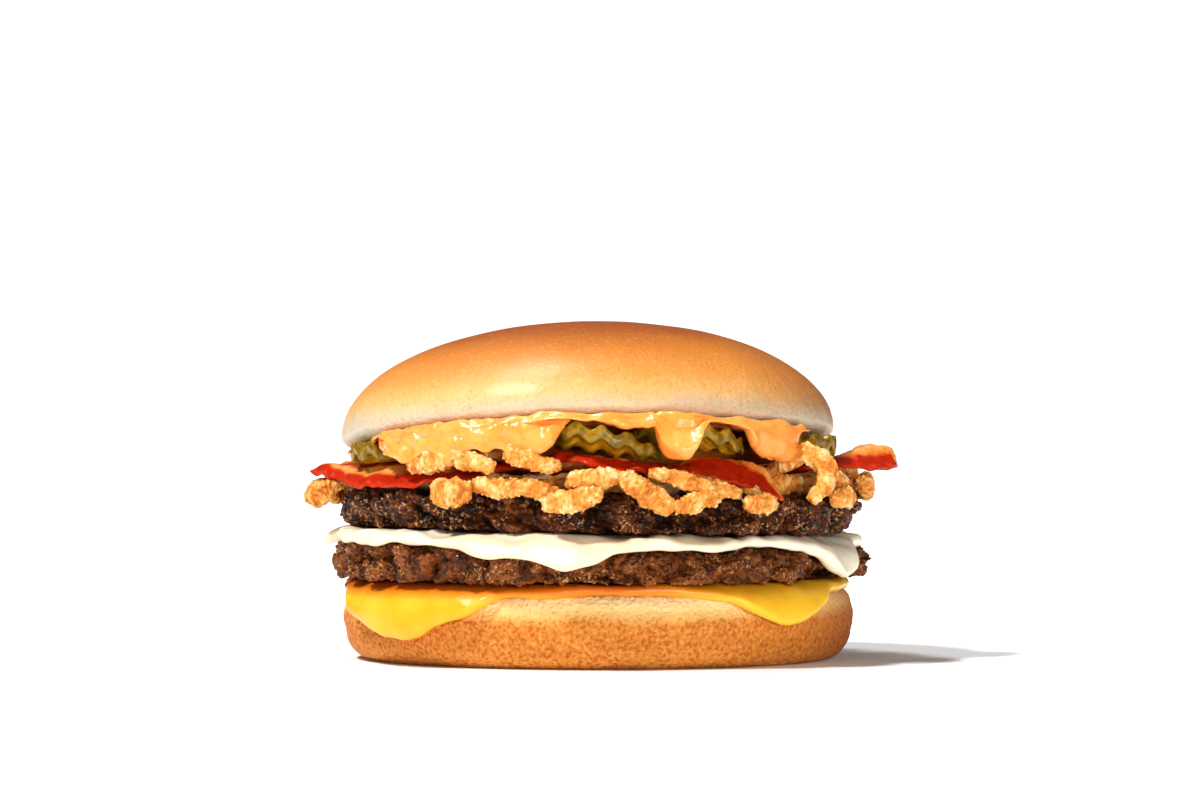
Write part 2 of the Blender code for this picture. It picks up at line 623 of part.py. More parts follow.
def make_sauce():
    """Lofted round the burger, with more sections at the front."""
    columns = 48
    turns = [math.tau * k / columns - 0.45 * math.sin(math.tau * k / columns) for k in range(columns)]
    sections = [sauce_section(math.remainder(t, math.tau)) for t in turns]
    inner = len(sections[0]) - 2
    points = [at_rim(r, t, z) for t, section in zip(turns, sections) for r, z in section[1:-1]]
    top, bottom = len(points), len(points) + 1
    points += [Vector((0, 0, sections[0][0][1])), Vector((0, 0, sections[0][-1][1]))]
    faces = []
    for k in range(columns):
        here, there = k * inner, (k + 1) % columns * inner
        faces += [(top, here, there), (bottom, there + inner - 1, here + inner - 1)]
        faces += [(here + i, here + i + 1, there + i + 1, there + i) for i in range(inner - 1)]
    mesh = bpy.data.meshes.new("sauce")
    mesh.from_pydata(points, [], faces)
    add("sauce", mesh, food_material("burger sauce", (0.95, 0.50, 0.14), 0.25))


for old in list(bpy.data.objects):
    bpy.data.objects.remove(old)
burger_parts = bpy.data.collections.new("double_cheeseburger")
bpy.context.scene.collection.children.link(burger_parts)
stand = bpy.data.objects.new("burger", None)
burger_parts.objects.link(stand)

make_heel()
make_yellow_slice()
make_patties()
make_white_slice()
fried = food_material("fried onion", (0.83, 0.43, 0.11), 0.55)
make_lower_onions(fried)
make_bacon()
make_upper_onions(fried)
make_pickles()
make_sauce()
make_crown()
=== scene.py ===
"""A double cheeseburger with bacon, crisp onions, pickles and sauce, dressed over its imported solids.

Sizes are in millimetres unless a name says otherwise, heights are above the table, and an azimuth is an angle
round the upright axis, 0 at the front and growing to the right. The burger faces -Y.
"""
import math
import random

import bpy
import numpy as np
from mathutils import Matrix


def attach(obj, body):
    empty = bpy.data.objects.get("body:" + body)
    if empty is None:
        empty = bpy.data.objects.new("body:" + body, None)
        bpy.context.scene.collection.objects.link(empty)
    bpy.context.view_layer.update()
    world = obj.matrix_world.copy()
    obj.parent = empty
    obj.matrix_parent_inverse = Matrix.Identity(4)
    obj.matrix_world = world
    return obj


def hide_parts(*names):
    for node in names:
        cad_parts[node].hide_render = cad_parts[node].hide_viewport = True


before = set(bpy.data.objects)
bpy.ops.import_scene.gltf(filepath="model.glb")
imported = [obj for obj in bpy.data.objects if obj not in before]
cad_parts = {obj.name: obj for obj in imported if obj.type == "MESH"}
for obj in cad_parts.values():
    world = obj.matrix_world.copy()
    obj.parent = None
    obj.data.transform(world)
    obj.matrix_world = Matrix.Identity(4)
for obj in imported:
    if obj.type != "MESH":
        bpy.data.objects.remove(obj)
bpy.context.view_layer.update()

# The bottom bun: soft wheat bread with a baked tan crust, sliced flat on top. The crust of its side is finely
# pitted like orange peel, and the edge next to the cut stayed pale.
MM = 0.001
NEAR_AXIS = 0.5  # Sections stop this far from the axis, and a fan of triangles closes them.
BUN_RADIUS = 51.0
HEEL_HEIGHT = 14.3
HEEL_TOP_EDGE = 3.0
HEEL_FOOT = (5.5, 6.0)
HEEL_BOW = 0.5
# The direction in which painted shade darkens both crusts: their right side, away from the lamps.
TOASTED_SIDE = (0.94, 0.34, 0)
# Tones of the side crust by height. The stop at 0.06, brighter than the foot and the wall above it, is
# painted light on the rounded foot, which faces down away from the lamps.
HEEL_CRUST = ((0.0, (0.46, 0.145, 0.022)), (0.06, (0.72, 0.30, 0.062)), (0.30, (0.61, 0.215, 0.036)),
              (0.62, (0.64, 0.24, 0.042)), (0.76, (0.88, 0.53, 0.19)), (1.0, (0.94, 0.76, 0.42)))


def place(radius, azimuth, height):
    """Points at a distance from the axis, an azimuth in radians and a height: x is the radius times the sine
    and y the negative radius times the cosine."""
    return np.stack(np.broadcast_arrays(radius * np.sin(azimuth), -radius * np.cos(azimuth), height), axis=-1)


def full_turn(count):
    """Evenly spaced azimuths all the way round: each is tau over the count further."""
    return np.linspace(0, math.tau, count, endpoint=False)


def smooth(low, high, value):
    """An S-curve from 0 at low to 1 at high: three times the share squared less twice its cube."""
    share = np.clip((value - low) / (high - low), 0, 1)
    return share * share * (3 - 2 * share)


def arc(centre, radii, start, end, count):
    """Points of an ellipse in a half section: the centre plus the radii times cosine and sine, in degrees."""
    turn = np.radians(np.linspace(start, end, count))
    return np.column_stack([centre[0] + radii[0] * np.cos(turn), centre[1] + radii[1] * np.sin(turn)])


def line(start, end, count):
    """Evenly spaced points between two points, without the last one."""
    return np.linspace(start, end, count, endpoint=False)


def uneven(azimuth, amount, seed):
    """How soft bread is out of round: 1 plus the sum of waves with 2, 3 and 5 turns."""
    wave = np.sin(2 * azimuth + seed) + 0.6 * np.sin(3 * azimuth + 2 * seed)
    return 1 + amount * (wave + 0.4 * np.sin(5 * azimuth - seed)) / 2


def grain(points, size, seed, count=22):
    """Even soft lumps of one size, about -1 to 1: a sum of sine waves in seeded directions and phases."""
    draws = np.random.default_rng(seed)
    directions = draws.normal(size=(count, 3))
    directions /= np.linalg.norm(directions, axis=1, keepdims=True)
    lengths = size * draws.uniform(0.7, 1.4, count)
    phases = draws.uniform(0, math.tau, count)
    flat = points.reshape(-1, 3) @ (directions * (math.tau / lengths)[:, None]).T
    return (np.sin(flat + phases).sum(axis=1) / (1.3 * math.sqrt(count))).reshape(points.shape[:-1])


def outward(rings):
    """Unit normals of rings of points: the step to the next ring crossed with the step round the ring."""
    along = np.gradient(rings, axis=0)
    around = np.roll(rings, -1, axis=1) - np.roll(rings, 1, axis=1)
    normal = np.cross(along, around)
    return normal / np.maximum(np.linalg.norm(normal, axis=2, keepdims=True), 1e-9)


def raised(rings, amount):
    """The rings with every point moved along its normal by its own amount."""
    return rings + outward(rings) * np.asarray(amount)[..., None]


def added(name, data):
    """A new object with this data, linked to the scene."""
    made = bpy.data.objects.new(name, data)
    bpy.context.scene.collection.objects.link(made)
    return made


def piece(name, parts, material, node):
    """One closed piece from several grids of rings: four-sided faces between neighbouring rings and a fan of
    triangles at each end. A grid may come in a pair with a value for each point, which the material reads."""
    points, corners, sizes, values, offset = [], [], [], [], 0
    for part in parts:
        rings, marks = part if isinstance(part, tuple) else (part, None)
        index = offset + np.arange(rings.shape[0] * rings.shape[1]).reshape(rings.shape[:2])
        beside = np.roll(index, -1, axis=1)
        first = offset + index.size
        quads = np.stack([index[:-1], index[1:], beside[1:], beside[:-1]], axis=-1).reshape(-1, 4)
        top = np.stack([np.full(len(index[0]), first), index[0], beside[0]], axis=-1)
        end = np.stack([np.full(len(index[0]), first + 1), beside[-1], index[-1]], axis=-1)
        points += [rings.reshape(-1, 3), rings[0].mean(axis=0)[None], rings[-1].mean(axis=0)[None]]
        corners += [quads.ravel(), top.ravel(), end.ravel()]
        sizes += [np.full(len(quads), 4), np.full(len(top) + len(end), 3)]
        if marks is not None:
            values += [marks.ravel(), [marks[0].mean(), marks[-1].mean()]]
        offset = first + 2
    points, corners, sizes = np.concatenate(points), np.concatenate(corners), np.concatenate(sizes)
    mesh = bpy.data.meshes.new(name)
    mesh.vertices.add(len(points))
    mesh.vertices.foreach_set("co", (points * MM).astype(np.float32).ravel())
    mesh.loops.add(len(corners))
    mesh.loops.foreach_set("vertex_index", corners.astype(np.int32))
    mesh.polygons.add(len(sizes))
    mesh.polygons.foreach_set("loop_start", (np.cumsum(sizes) - sizes).astype(np.int32))
    mesh.update(calc_edges=True)
    if values:
        layer = mesh.attributes.new("mark", "FLOAT", "POINT")
        layer.data.foreach_set("value", np.concatenate(values).astype(np.float32))
    mesh.shade_smooth()
    mesh.materials.append(material)
    made = added(name, mesh)
    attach(made, "root")
    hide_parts(node)


def new_finish(name, roughness, specular, soft=(), coat=()):
    """A material with these values on its shader's own sockets, and its node tree. soft is the share of light
    that scatters inside, how far in metres and by colour; coat is a gloss's share, roughness and IOR."""
    material = bpy.data.materials.new(name)
    material.use_nodes = True
    inputs = material.node_tree.nodes["Principled BSDF"].inputs
    for sockets, values in (
        (("Roughness", "Specular IOR Level"), (roughness, specular)),
        (("Subsurface Weight", "Subsurface Scale", "Subsurface Radius"), soft),
        (("Coat Weight", "Coat Roughness", "Coat IOR"), coat),
    ):
        for socket, value in zip(sockets, values):
            inputs[socket].default_value = value
    return material, material.node_tree


def put(tree, kind, inputs, **settings):
    """A shader node of this kind: settings are its own, inputs are values or outputs of other nodes."""
    made = tree.nodes.new("ShaderNode" + kind)
    for name, value in settings.items():
        setattr(made, name, value)
    for socket, value in inputs.items():
        if isinstance(value, bpy.types.NodeSocket):
            tree.links.new(value, made.inputs[socket])
        else:
            made.inputs[socket].default_value = value
    return made


def place_of(tree):
    """Where the surface is on the object, in metres."""
    return put(tree, "TexCoord", {}).outputs["Object"]


def mark_of(tree):
    """The value that the piece carries at each of its points."""
    return put(tree, "Attribute", {}, attribute_name="mark").outputs["Fac"]


def specks(tree, size, detail=2.0, rough=0.5):
    """Noise from 0 to 1 with features of this size in mm."""
    inputs = {"Vector": place_of(tree), "Scale": 1 / (size * MM), "Detail": detail, "Roughness": rough}
    return put(tree, "TexNoise", inputs).outputs["Fac"]


def ease(tree, value, low, high, to_low=0.0, to_high=1.0):
    """The value taken from one range to another along an S-curve."""
    inputs = {"Value": value, "From Min": low, "From Max": high, "To Min": to_low, "To Max": to_high}
    return put(tree, "MapRange", inputs, interpolation_type="SMOOTHSTEP").outputs["Result"]


def plus(tree, first, second):
    """Two numbers added."""
    return put(tree, "Math", {0: first, 1: second}, operation="ADD").outputs[0]


def times(tree, first, second):
    """Two numbers multiplied."""
    return put(tree, "Math", {0: first, 1: second}, operation="MULTIPLY").outputs[0]


def wander(tree, size, amount):
    """Soft noise about 0 with features of this size in mm: specks less a half, times the amount."""
    return times(tree, plus(tree, specks(tree, size, 3), -0.5), amount)


def mix(tree, share, first, second):
    """The second colour laid over the first by this share."""
    first, second = ((*c, 1) if isinstance(c, tuple) else c for c in (first, second))
    return put(tree, "Mix", {0: share, 6: first, 7: second}, data_type="RGBA").outputs[2]


def tones(tree, value, stops):
    """A colour for each value from 0 to 1, between stops of a position and a colour."""
    ramp = put(tree, "ValToRGB", {"Fac": value})
    while len(ramp.color_ramp.elements) < len(stops):
        ramp.color_ramp.elements.new(1.0)
    for element, (position, colour) in zip(ramp.color_ramp.elements, stops):
        element.position, element.color = position, (*colour, 1)
    return ramp.outputs["Color"]


def level_along(tree, direction, start, end):
    """How far along a direction the surface lies: 0 at start and 1 at end, both in mm."""
    dot = put(tree, "VectorMath", {0: place_of(tree), 1: direction}, operation="DOT_PRODUCT").outputs["Value"]
    inputs = {"Value": dot, "From Min": start * MM, "From Max": end * MM}
    return put(tree, "MapRange", inputs).outputs["Result"]


def finished(material, colour, *layers):
    """The material with its colour and its fine relief: each layer is a height from 0 to 1 and its depth in
    mm, one bump laid over another."""
    tree = material.node_tree
    shader = tree.nodes["Principled BSDF"]
    tree.links.new(colour, shader.inputs["Base Color"])
    normal = None
    for height, depth in layers:
        inputs = {"Height": height, "Distance": depth * MM}
        if normal:
            inputs["Normal"] = normal
        normal = put(tree, "Bump", inputs).outputs["Normal"]
    tree.links.new(normal, shader.inputs["Normal"])
    return material


def bottom_crust():
    """Tones by height, from the baked foot to the pale cut edge, with dark pits. Painted light lifts the band
    just above the foot, and painted shade darkens the right side.
    """
    material, tree = new_finish("baked side crust", 0.65, 0.2, soft=(0.04, 0.0015))
    level = plus(tree, level_along(tree, (0, 0, 1), 0, HEEL_HEIGHT), wander(tree, 9, 0.16))
    colour = tones(tree, level, HEEL_CRUST)
    pits = specks(tree, 0.78, 1.5, 0.5)
    dark = times(tree, ease(tree, pits, 0.48, 0.35, 0, 0.62), ease(tree, level, 0.82, 0.60))
    colour = mix(tree, dark, colour, (0.40, 0.090, 0.008))
    colour = mix(tree, ease(tree, pits, 0.52, 0.68, 0, 0.4), colour, (0.88, 0.45, 0.12))
    # Painted shade: the crust darkens towards its right side, where the lamps fall off.
    toasted = times(tree, level_along(tree, TOASTED_SIDE, 26, 54), 0.85)
    colour = mix(tree, toasted, colour, (0.34, 0.072, 0.010))
    return finished(material, colour, (pits, 0.55), (specks(tree, 0.5, 2), 0.16))


def bottom_bun():
    """The half section of flat cut, rounded top edge, slightly bowed wall and foot, turned round the axis."""
    wall = BUN_RADIUS - HEEL_BOW
    shoulder = wall - HEEL_TOP_EDGE
    bow = np.linspace(0, 1, 22)[1:-1]
    heights = (HEEL_HEIGHT - HEEL_TOP_EDGE) + bow * (HEEL_FOOT[1] - HEEL_HEIGHT + HEEL_TOP_EDGE)
    section = np.concatenate([
        line((NEAR_AXIS, HEEL_HEIGHT), (44, HEEL_HEIGHT), 12),
        line((44, HEEL_HEIGHT), (shoulder, HEEL_HEIGHT), 8),
        arc((shoulder, HEEL_HEIGHT - HEEL_TOP_EDGE), (HEEL_TOP_EDGE, HEEL_TOP_EDGE), 90, 0, 15),
        np.column_stack([wall + HEEL_BOW * np.sin(math.pi * bow), heights]),
        arc((wall - HEEL_FOOT[0], HEEL_FOOT[1]), HEEL_FOOT, 0, -90, 30),
        line((44.5, 0), (NEAR_AXIS, 0), 6),
    ])
    reach, height = section[:, :1], section[:, 1:]
    azimuth = full_turn(720)
    rings = place(reach * uneven(azimuth, 0.006, 1.0), azimuth, height)
    side = smooth(45, 50, reach) * smooth(0.0, 1.2, height)
    pits = grain(rings, 2.0, 1, 40)
    dents = -0.16 * np.maximum(-pits, 0) + 0.07 * grain(rings, 6, 2) + 0.10 * grain(rings, 19, 3)
    return raised(rings, side * dents)


piece("bottom_bun", [bottom_bun()], bottom_crust(), "bun_bottom")

# The yellow cheese: one square slice of processed cheddar laid on the bottom bun. The heat of the beef melted
# it, so its corners hang down the bun in smooth shiny flaps with a thick rounded edge.
GAP = 0.3
SLICE_THICKNESS = 1.7
YELLOW_Z = HEEL_HEIGHT + GAP
YELLOW_REACH = 48.8
YELLOW_FLAT = 47.2
YELLOW_BEND = 5.0
YELLOW_CORNERS = ((-47, 9.5, 21), (44, 6.6, 15), (137, 9.0, 19), (-134, 8.0, 20))


def lobes(azimuth, table):
    """The sum of rounded bumps round the burger: each has a centre in degrees, a height and a half width in
    degrees, and falls off as the exponential of minus the square of the distance over the half width."""
    total = np.zeros_like(azimuth, dtype=float)
    for centre, height, width in table:
        turn = np.degrees(np.angle(np.exp(1j * (azimuth - math.radians(centre)))))
        total += height * np.exp(-((turn / width) ** 2))
    return total


def waves(seed, count, turns, rise):
    """Seeded waves round the burger: whole turns, radians for each mm of height, and a phase."""
    draws = random.Random(seed)
    rows = []
    for _ in range(count):
        rows.append((draws.randint(*turns), draws.uniform(-rise, rise), draws.uniform(0, math.tau)))
    return rows


def ripple(rows, azimuth, height):
    """The sum of the sines of those waves, over the square root of their number."""
    total = sum(np.sin(n * azimuth + m * height + phase) for n, m, phase in rows)
    return total / math.sqrt(len(rows))


def melted_slice(extent, flat, bend, base, wrinkle, seed, corners, tucked=()):
    """A slice that lies flat out to a radius, turns down round an arc and hangs. A point at a reach along it
    is set by the arc's angle, reach less flat over bend, and lies half a thickness to either side of the
    middle; a half circle rounds the edge. corners are lobes that lengthen it and tucked ones pull it in."""
    azimuth = full_turn(540)
    pulled = lobes(azimuth, tucked)
    full = extent + lobes(azimuth, corners) - pulled
    full = full + wrinkle * ripple(waves(seed, 7, (7, 29), 0), azimuth, 0)
    level = flat - pulled
    shares = np.concatenate([np.linspace(0.012, 0.8, 12), np.linspace(0.82, 1, 50)[:-1]])
    top = np.column_stack([shares, np.full(len(shares), 0.0)])
    edge = np.column_stack([np.ones(14), np.linspace(0, math.pi, 14)])
    under = np.column_stack([shares[::-2], np.full(len(shares[::-2]), math.pi)])
    rows = np.concatenate([top, edge, under])
    share, round_edge = rows[:, :1], rows[:, 1:]
    reach = share * full
    turn = np.clip((reach - level) / bend, 0, math.pi / 2)
    hang = np.maximum(reach - level - bend * math.pi / 2, 0)
    middle = SLICE_THICKNESS / 2
    across = np.minimum(reach, level) + (bend + middle) * np.sin(turn)
    height = base + middle - (bend + middle) * (1 - np.cos(turn)) - hang
    bead = middle * (1 + 0.22 * smooth(0.93, 1.0, share))
    across = across + bead * (np.sin(turn) * np.cos(round_edge) + np.cos(turn) * np.sin(round_edge))
    height = height + bead * (np.cos(turn) * np.cos(round_edge) - np.sin(turn) * np.sin(round_edge))
    rings = place(across, azimuth, height)
    soft = smooth(0.75, 0.9, share) * wrinkle
    return raised(rings, soft * (0.6 * grain(rings, 13, seed) + 0.3 * grain(rings, 5, seed + 1)))


def melted_cheese(name, pale, deep, spots, shaded, shade_from, thin):
    """Two soft tones and fine light spots. A colour is painted above shade_from: painted shade under the beef
    on the yellow slice, painted light against the beef's shadow on the white one. The colour called thin is
    painted light towards the right, where the lamps leave the slice darker."""
    soft = (0.25, 0.003, (1.0, 0.6, 0.25))
    material, tree = new_finish(name, 0.36, 0.35, soft, coat=(0.15, 0.1))
    colour = mix(tree, ease(tree, specks(tree, 7, 3), 0.35, 0.65), pale, deep)
    colour = mix(tree, ease(tree, specks(tree, 0.9, 2), 0.66, 0.78, 0, 0.5), colour, spots)
    # Painted band above shade_from: shade under the beef on the yellow slice, light against the beef's shadow
    # on the white one.
    colour = mix(tree, level_along(tree, (0, 0, 1), shade_from, shade_from + 2.2), colour, shaded)
    # Painted light: the slice lightens towards its right, where the lamps leave it darker.
    stretched = times(tree, level_along(tree, (1, 0, 0), 8, 40), 0.75)
    colour = mix(tree, stretched, colour, thin)
    return finished(material, colour, (specks(tree, 5, 2), 0.35), (specks(tree, 0.8, 2), 0.03))


yellow = melted_slice(YELLOW_REACH, YELLOW_FLAT, YELLOW_BEND, YELLOW_Z, 0.3, 11, YELLOW_CORNERS)
# The yellow slice: its band under the beef is painted shade, and its colour called thin is painted light on
# the right.
yellow_melt = melted_cheese(
    "melted yellow cheese", pale=(0.97, 0.46, 0.036), deep=(0.95, 0.385, 0.014), spots=(0.97, 0.52, 0.07),
    shaded=(0.60, 0.145, 0.004), shade_from=YELLOW_Z - 1.6, thin=(0.98, 0.60, 0.035),
)
piece("yellow_cheese", [yellow], yellow_melt, "cheese_yellow")

# The lower patty: coarsely ground beef pressed thin and grilled, dark brown and moist. It rests on the yellow
# slice, and its rim is broken into crumbs with deep creases between them.
PATTY_THICKNESS = 7.8
LOWER_PATTY_RADIUS = 53.8
LOWER_PATTY_Z = YELLOW_Z + SLICE_THICKNESS + GAP
LOWER_PATTY_OUTLINE = ((66, -4.4, 16), (-91, -0.9, 14), (93, 1.8, 9))
CREASE_DEPTH = 1.8
RIM_REACH = 5
# Crumbs of the rim: size, rise and crack depth. Grains on them: size and rise.
CRUMBS = ((7.5, 0.42, 0.26), (3.2, 0.18, 0.14))
GRAINS = ((3.0, 0.24), (1.5, 0.34), (0.8, 0.34))


def settled(x):
    """How far the filling has sunk at this distance to the right: one degree of slope from x = -38 on."""
    return math.tan(math.radians(1.0)) * np.maximum(x + 38.0, 0)


def crumbs_on(points, seeds):
    """Rounded crumbs with creases between: for each point, its distance to the nearest of the seeds and how
    much further the next one is, in blocks, from the squares of the lengths and the dot products."""
    flat = points.reshape(-1, 3)
    near = np.empty((len(flat), 2))
    squares = (seeds**2).sum(axis=1)
    for start in range(0, len(flat), 4096):
        block = flat[start:start + 4096]
        apart = (block**2).sum(axis=1)[:, None] + squares - 2 * block @ seeds.T
        near[start:start + 4096] = np.sqrt(np.maximum(np.partition(apart, 1, axis=1)[:, :2], 0))
    first, second = near[:, 0].reshape(points.shape[:-1]), near[:, 1].reshape(points.shape[:-1])
    return first, second - first


def beef_patty(radius, seed, outline, sag, settled_below, base):
    """A disc whose rim is a full ellipse, the powers 0.7 and 0.85 of cosine and sine. The rim follows the
    lobes of the outline, is pulled in along the zero lines of two sets of waves, and carries crumbs of two
    sizes. The top sinks with the filling, the underside by a share of that."""
    half = PATTY_THICKNESS / 2
    rim_turn = arc((0, 0), (1, 1), 90, -90, 64)
    section = np.concatenate([
        line((NEAR_AXIS, PATTY_THICKNESS), (radius - RIM_REACH, PATTY_THICKNESS), 12),
        (radius - RIM_REACH, half) + (RIM_REACH, half) * np.sign(rim_turn) * np.abs(rim_turn) ** (0.7, 0.85),
        line((radius - 5.4, 0), (NEAR_AXIS, 0), 6),
    ])
    azimuth = full_turn(960)
    reach, level = np.broadcast_arrays(section[:, :1] + 0 * azimuth, section[:, 1:] + 0 * azimuth)
    around = azimuth + 0 * reach
    rim = smooth(0.88 * radius, 0.97 * radius, reach)
    crease = 1.0 * (1 - np.minimum(np.abs(ripple(waves(seed, 7, (7, 17), 0.7), around, level)), 1))
    crease += 0.7 * (1 - np.minimum(np.abs(ripple(waves(seed + 1, 7, (16, 27), 1.2), around, level)), 1))
    out = reach + smooth(0.78 * radius, 0.92 * radius, reach) * lobes(around, outline)
    out = out - rim * CREASE_DEPTH * crease**2
    height = half + (level - half) * (1 - 0.12 * smooth(0.86 * radius, radius, reach) * crease)
    height -= sag * smooth(0.93 * radius, radius, reach) * smooth(half, 0, level)
    across = reach * np.sin(around)
    share = settled_below + (1 - settled_below) * smooth(0, 0.8 * PATTY_THICKNESS, level)
    rings = place(out, around, base + height - settled(across) * share)
    draws = np.random.default_rng(seed)
    shift = np.stack([grain(rings, 5.0, seed + k) for k in (50, 51, 52)], axis=-1)
    torn = rings + 0.9 * shift
    lumps = 0.0
    for size, rise, crack in CRUMBS:
        number = int(math.tau * radius * 16 / size**2 * 1.4)
        turns, levels = draws.uniform(0, math.tau, number), draws.uniform(-1, PATTY_THICKNESS + 1, number)
        reaches = draws.uniform(radius - 4.5, radius, number)
        seeds = place(reaches, turns, base + levels - settled(radius * np.sin(turns)))
        first, gap = crumbs_on(torn, seeds)
        lumps = lumps + rise * (0.5 - smooth(0.15, 0.95, first / size))
        lumps = lumps - crack * (1 - smooth(0, 0.22 * size, gap))
    for size, rise in GRAINS:
        lumps = lumps + rise * (np.abs(grain(torn, size, seed + int(size * 10), 30)) - 0.5)
    # The second value is the height of the relief, which the beef's colour uses as painted shade in the
    # creases.
    return raised(rings, (0.12 + 0.88 * rim) * lumps), np.clip(0.5 + lumps / 2.2, 0, 1)


def grilled_beef(name, lighter):
    """Mottled beef, paler on its raised crumbs and darker in the creases by the mark, which is painted shade.
    The second argument lifts the whole as painted light, so that a rim in shade keeps its brown. Light grains
    in patches are partly the beef's own and partly painted glints, and dark specks are painted shade in small
    dips.
    """
    material, tree = new_finish(name, 0.30, 0.20, coat=(0.20, 0.09))
    # Painted shade: the mark, the height of the relief, makes the creases darker than the crumbs.
    mottled = plus(tree, specks(tree, 3.2, 4, 0.6), times(tree, mark_of(tree), 0.55))
    brown = ((0.0, (0.008, 0.002, 0.0005)), (0.30, (0.022, 0.005, 0.001)), (0.52, (0.080, 0.018, 0.003)),
             (0.76, (0.190, 0.046, 0.007)), (1.0, (0.36, 0.110, 0.020)))
    colour = tones(tree, ease(tree, mottled, 0.32 - lighter, 1.12 - lighter), brown)
    # Light tan grains in patches, partly the beef's own grains and partly painted glints.
    grains = ease(tree, specks(tree, 0.62, 2, 0.5), 0.54, 0.64)
    browned = ease(tree, specks(tree, 6.5, 3), 0.42, 0.58, 0.10, 1.0)
    colour = mix(tree, times(tree, grains, browned), colour, (0.78, 0.42, 0.17))
    # Painted shade: near-black specks stand for the shade in small dips of the crumbly beef.
    hollows = ease(tree, specks(tree, 0.9, 3, 0.6), 0.47, 0.38, 0, 0.85)
    colour = mix(tree, hollows, colour, (0.010, 0.002, 0.001))
    return finished(material, colour, (specks(tree, 1.4, 4, 0.65), 0.7), (specks(tree, 0.5, 3, 0.7), 0.9))


lower_patty = beef_patty(
    LOWER_PATTY_RADIUS, 3, LOWER_PATTY_OUTLINE, sag=1.6, settled_below=0, base=LOWER_PATTY_Z
)
# The lower patty gets a share of painted light, for its rim in the shade of the white slice above.
piece("lower_patty", [lower_patty], grilled_beef("lower ground beef", 0.20), "patty_lower")

# The white cheese: a square slice of mild cheese between the patties, melted over the rim of the lower one.
# It hangs in a low swag at the front and in a longer corner at the right.
WHITE_Z = LOWER_PATTY_Z + PATTY_THICKNESS + GAP
WHITE_REACH = 51.3
WHITE_FLAT = 48.8
WHITE_BEND = 7.5
WHITE_CORNERS = (
    (-9, 5.2, 18), (65, 7.6, 10), (-93, 2.8, 12), (-48, 1.4, 18), (160, 8.0, 16), (-140, 4.0, 14),
)
WHITE_TUCKED = ((66, 3.8, 15),)

white = melted_slice(WHITE_REACH, WHITE_FLAT, WHITE_BEND, WHITE_Z, 0.75, 21, WHITE_CORNERS, WHITE_TUCKED)
white[..., 2] -= settled(white[..., 0])
# The white slice: its band under the upper patty is painted light against that patty's shadow, and its colour
# called thin is painted light on the right.
white_melt = melted_cheese(
    "melted white cheese", pale=(0.91, 0.735, 0.53), deep=(0.87, 0.68, 0.46), spots=(0.94, 0.79, 0.62),
    shaded=(0.95, 0.84, 0.68), shade_from=WHITE_Z + 0.2, thin=(0.95, 0.86, 0.68),
)
piece("white_cheese", [white], white_melt, "cheese_white")

# The upper patty: the same ground beef, pressed and grilled a little smaller. It rests on the white slice and
# slopes with it, under the weight of the topping.
UPPER_PATTY_RADIUS = 52.8
UPPER_PATTY_OUTLINE = ((-90, -1.2, 18),)
UPPER_PATTY_Z = WHITE_Z + SLICE_THICKNESS + GAP

upper_patty = beef_patty(
    UPPER_PATTY_RADIUS, 8, UPPER_PATTY_OUTLINE, sag=0.9, settled_below=1, base=UPPER_PATTY_Z
)
piece("upper_patty", [upper_patty], grilled_beef("upper ground beef", 0.0), "patty_upper")

# The lower onions: strips of onion in a seasoned crumb, fried crisp and golden, heaped on the upper patty.
# They stick out all round under the bacon, with one curled strip at the right and a clump at the left.
ONION_Z = UPPER_PATTY_Z + PATTY_THICKNESS + GAP
ONION_CORE_TOP = 36.5
ONION_CORE_RADIUS = 46.0
# Azimuth in degrees, height, length, fall to the right in degrees, width and distance from the axis.
FRONT_CRISPS = (
    (-31, 33.8, 9, 0, 5.6, 54.8),
    (-21.6, 34.8, 11, 5, 3.6, 53.2),
    (-13, 34.6, 11, 14, 3.4, 53.4),
    (-5, 32.6, 12, -10, 4.4, 54.8),
    (-1, 36.6, 11, -5, 3.8, 53.2),
    (10, 33.8, 13, 32, 4.6, 53.8),
    (21, 35.6, 20, 13, 3.4, 53.0),
    (20.4, 32.2, 9.5, -15, 3.8, 54.4),
    (35, 31.6, 8, 0, 3.8, 54.6),
    (61, 36.2, 9, 15, 3.0, 53.0),
    (61, 32.6, 9, 0, 4.2, 54.8),
    (80, 34.6, 8, 15, 4.4, 54.0),
)
SIDE_CRISPS = (
    (106, 36.2, 11, 0, 4.4, 52.8), (143, 37.2, 13, 6, 4.4, 52.6), (263, 36.0, 9, 0, 4.2, 52.8),
)
# The curled strip: distance from the axis, azimuth in degrees, height.
CURL = (
    (42, 50, 36.2), (46.5, 50, 39.0), (51.5, 52, 41.2),
    (54.8, 54, 38.0), (55.2, 51.5, 34.0), (54.4, 48.5, 32.0),
)
# The clump at the left: azimuth in degrees, distance of its end, drop of its end, width.
CLUMP = ((-86, 57.2, 3.4, 5.6), (-78.5, 56.8, 3.0, 5.2), (-93, 56.0, 2.4, 5.0))
# Where the strips grow out of the heap, their thickness, and the grains of their crumb: size and rise.
ROOT_Z = 35.6
ROOT_REACH = 42
STRIP_THICKNESS = 3.0
CRUMB_GRAINS = ((2.0, 0.26), (1.1, 0.28), (0.6, 0.20))


def through(points, position):
    """A smooth curve through the points (Catmull-Rom) at positions from 0 to 1: each stretch is a cubic of
    the four points round it."""
    points = np.asarray(points, float)
    last = len(points) - 1
    step = np.minimum((position * last).astype(int), last - 1)
    s = (position * last - step).reshape(-1, *[1] * (points.ndim - 1))
    rows = [points[np.clip(step + k, 0, last)] for k in (-1, 0, 1, 2)]
    weights = (-s + 2 * s**2 - s**3, 2 - 5 * s**2 + 3 * s**3, s + 4 * s**2 - 3 * s**3, s**3 - s**2)
    return sum(weight * row for weight, row in zip(weights, rows)) / 2


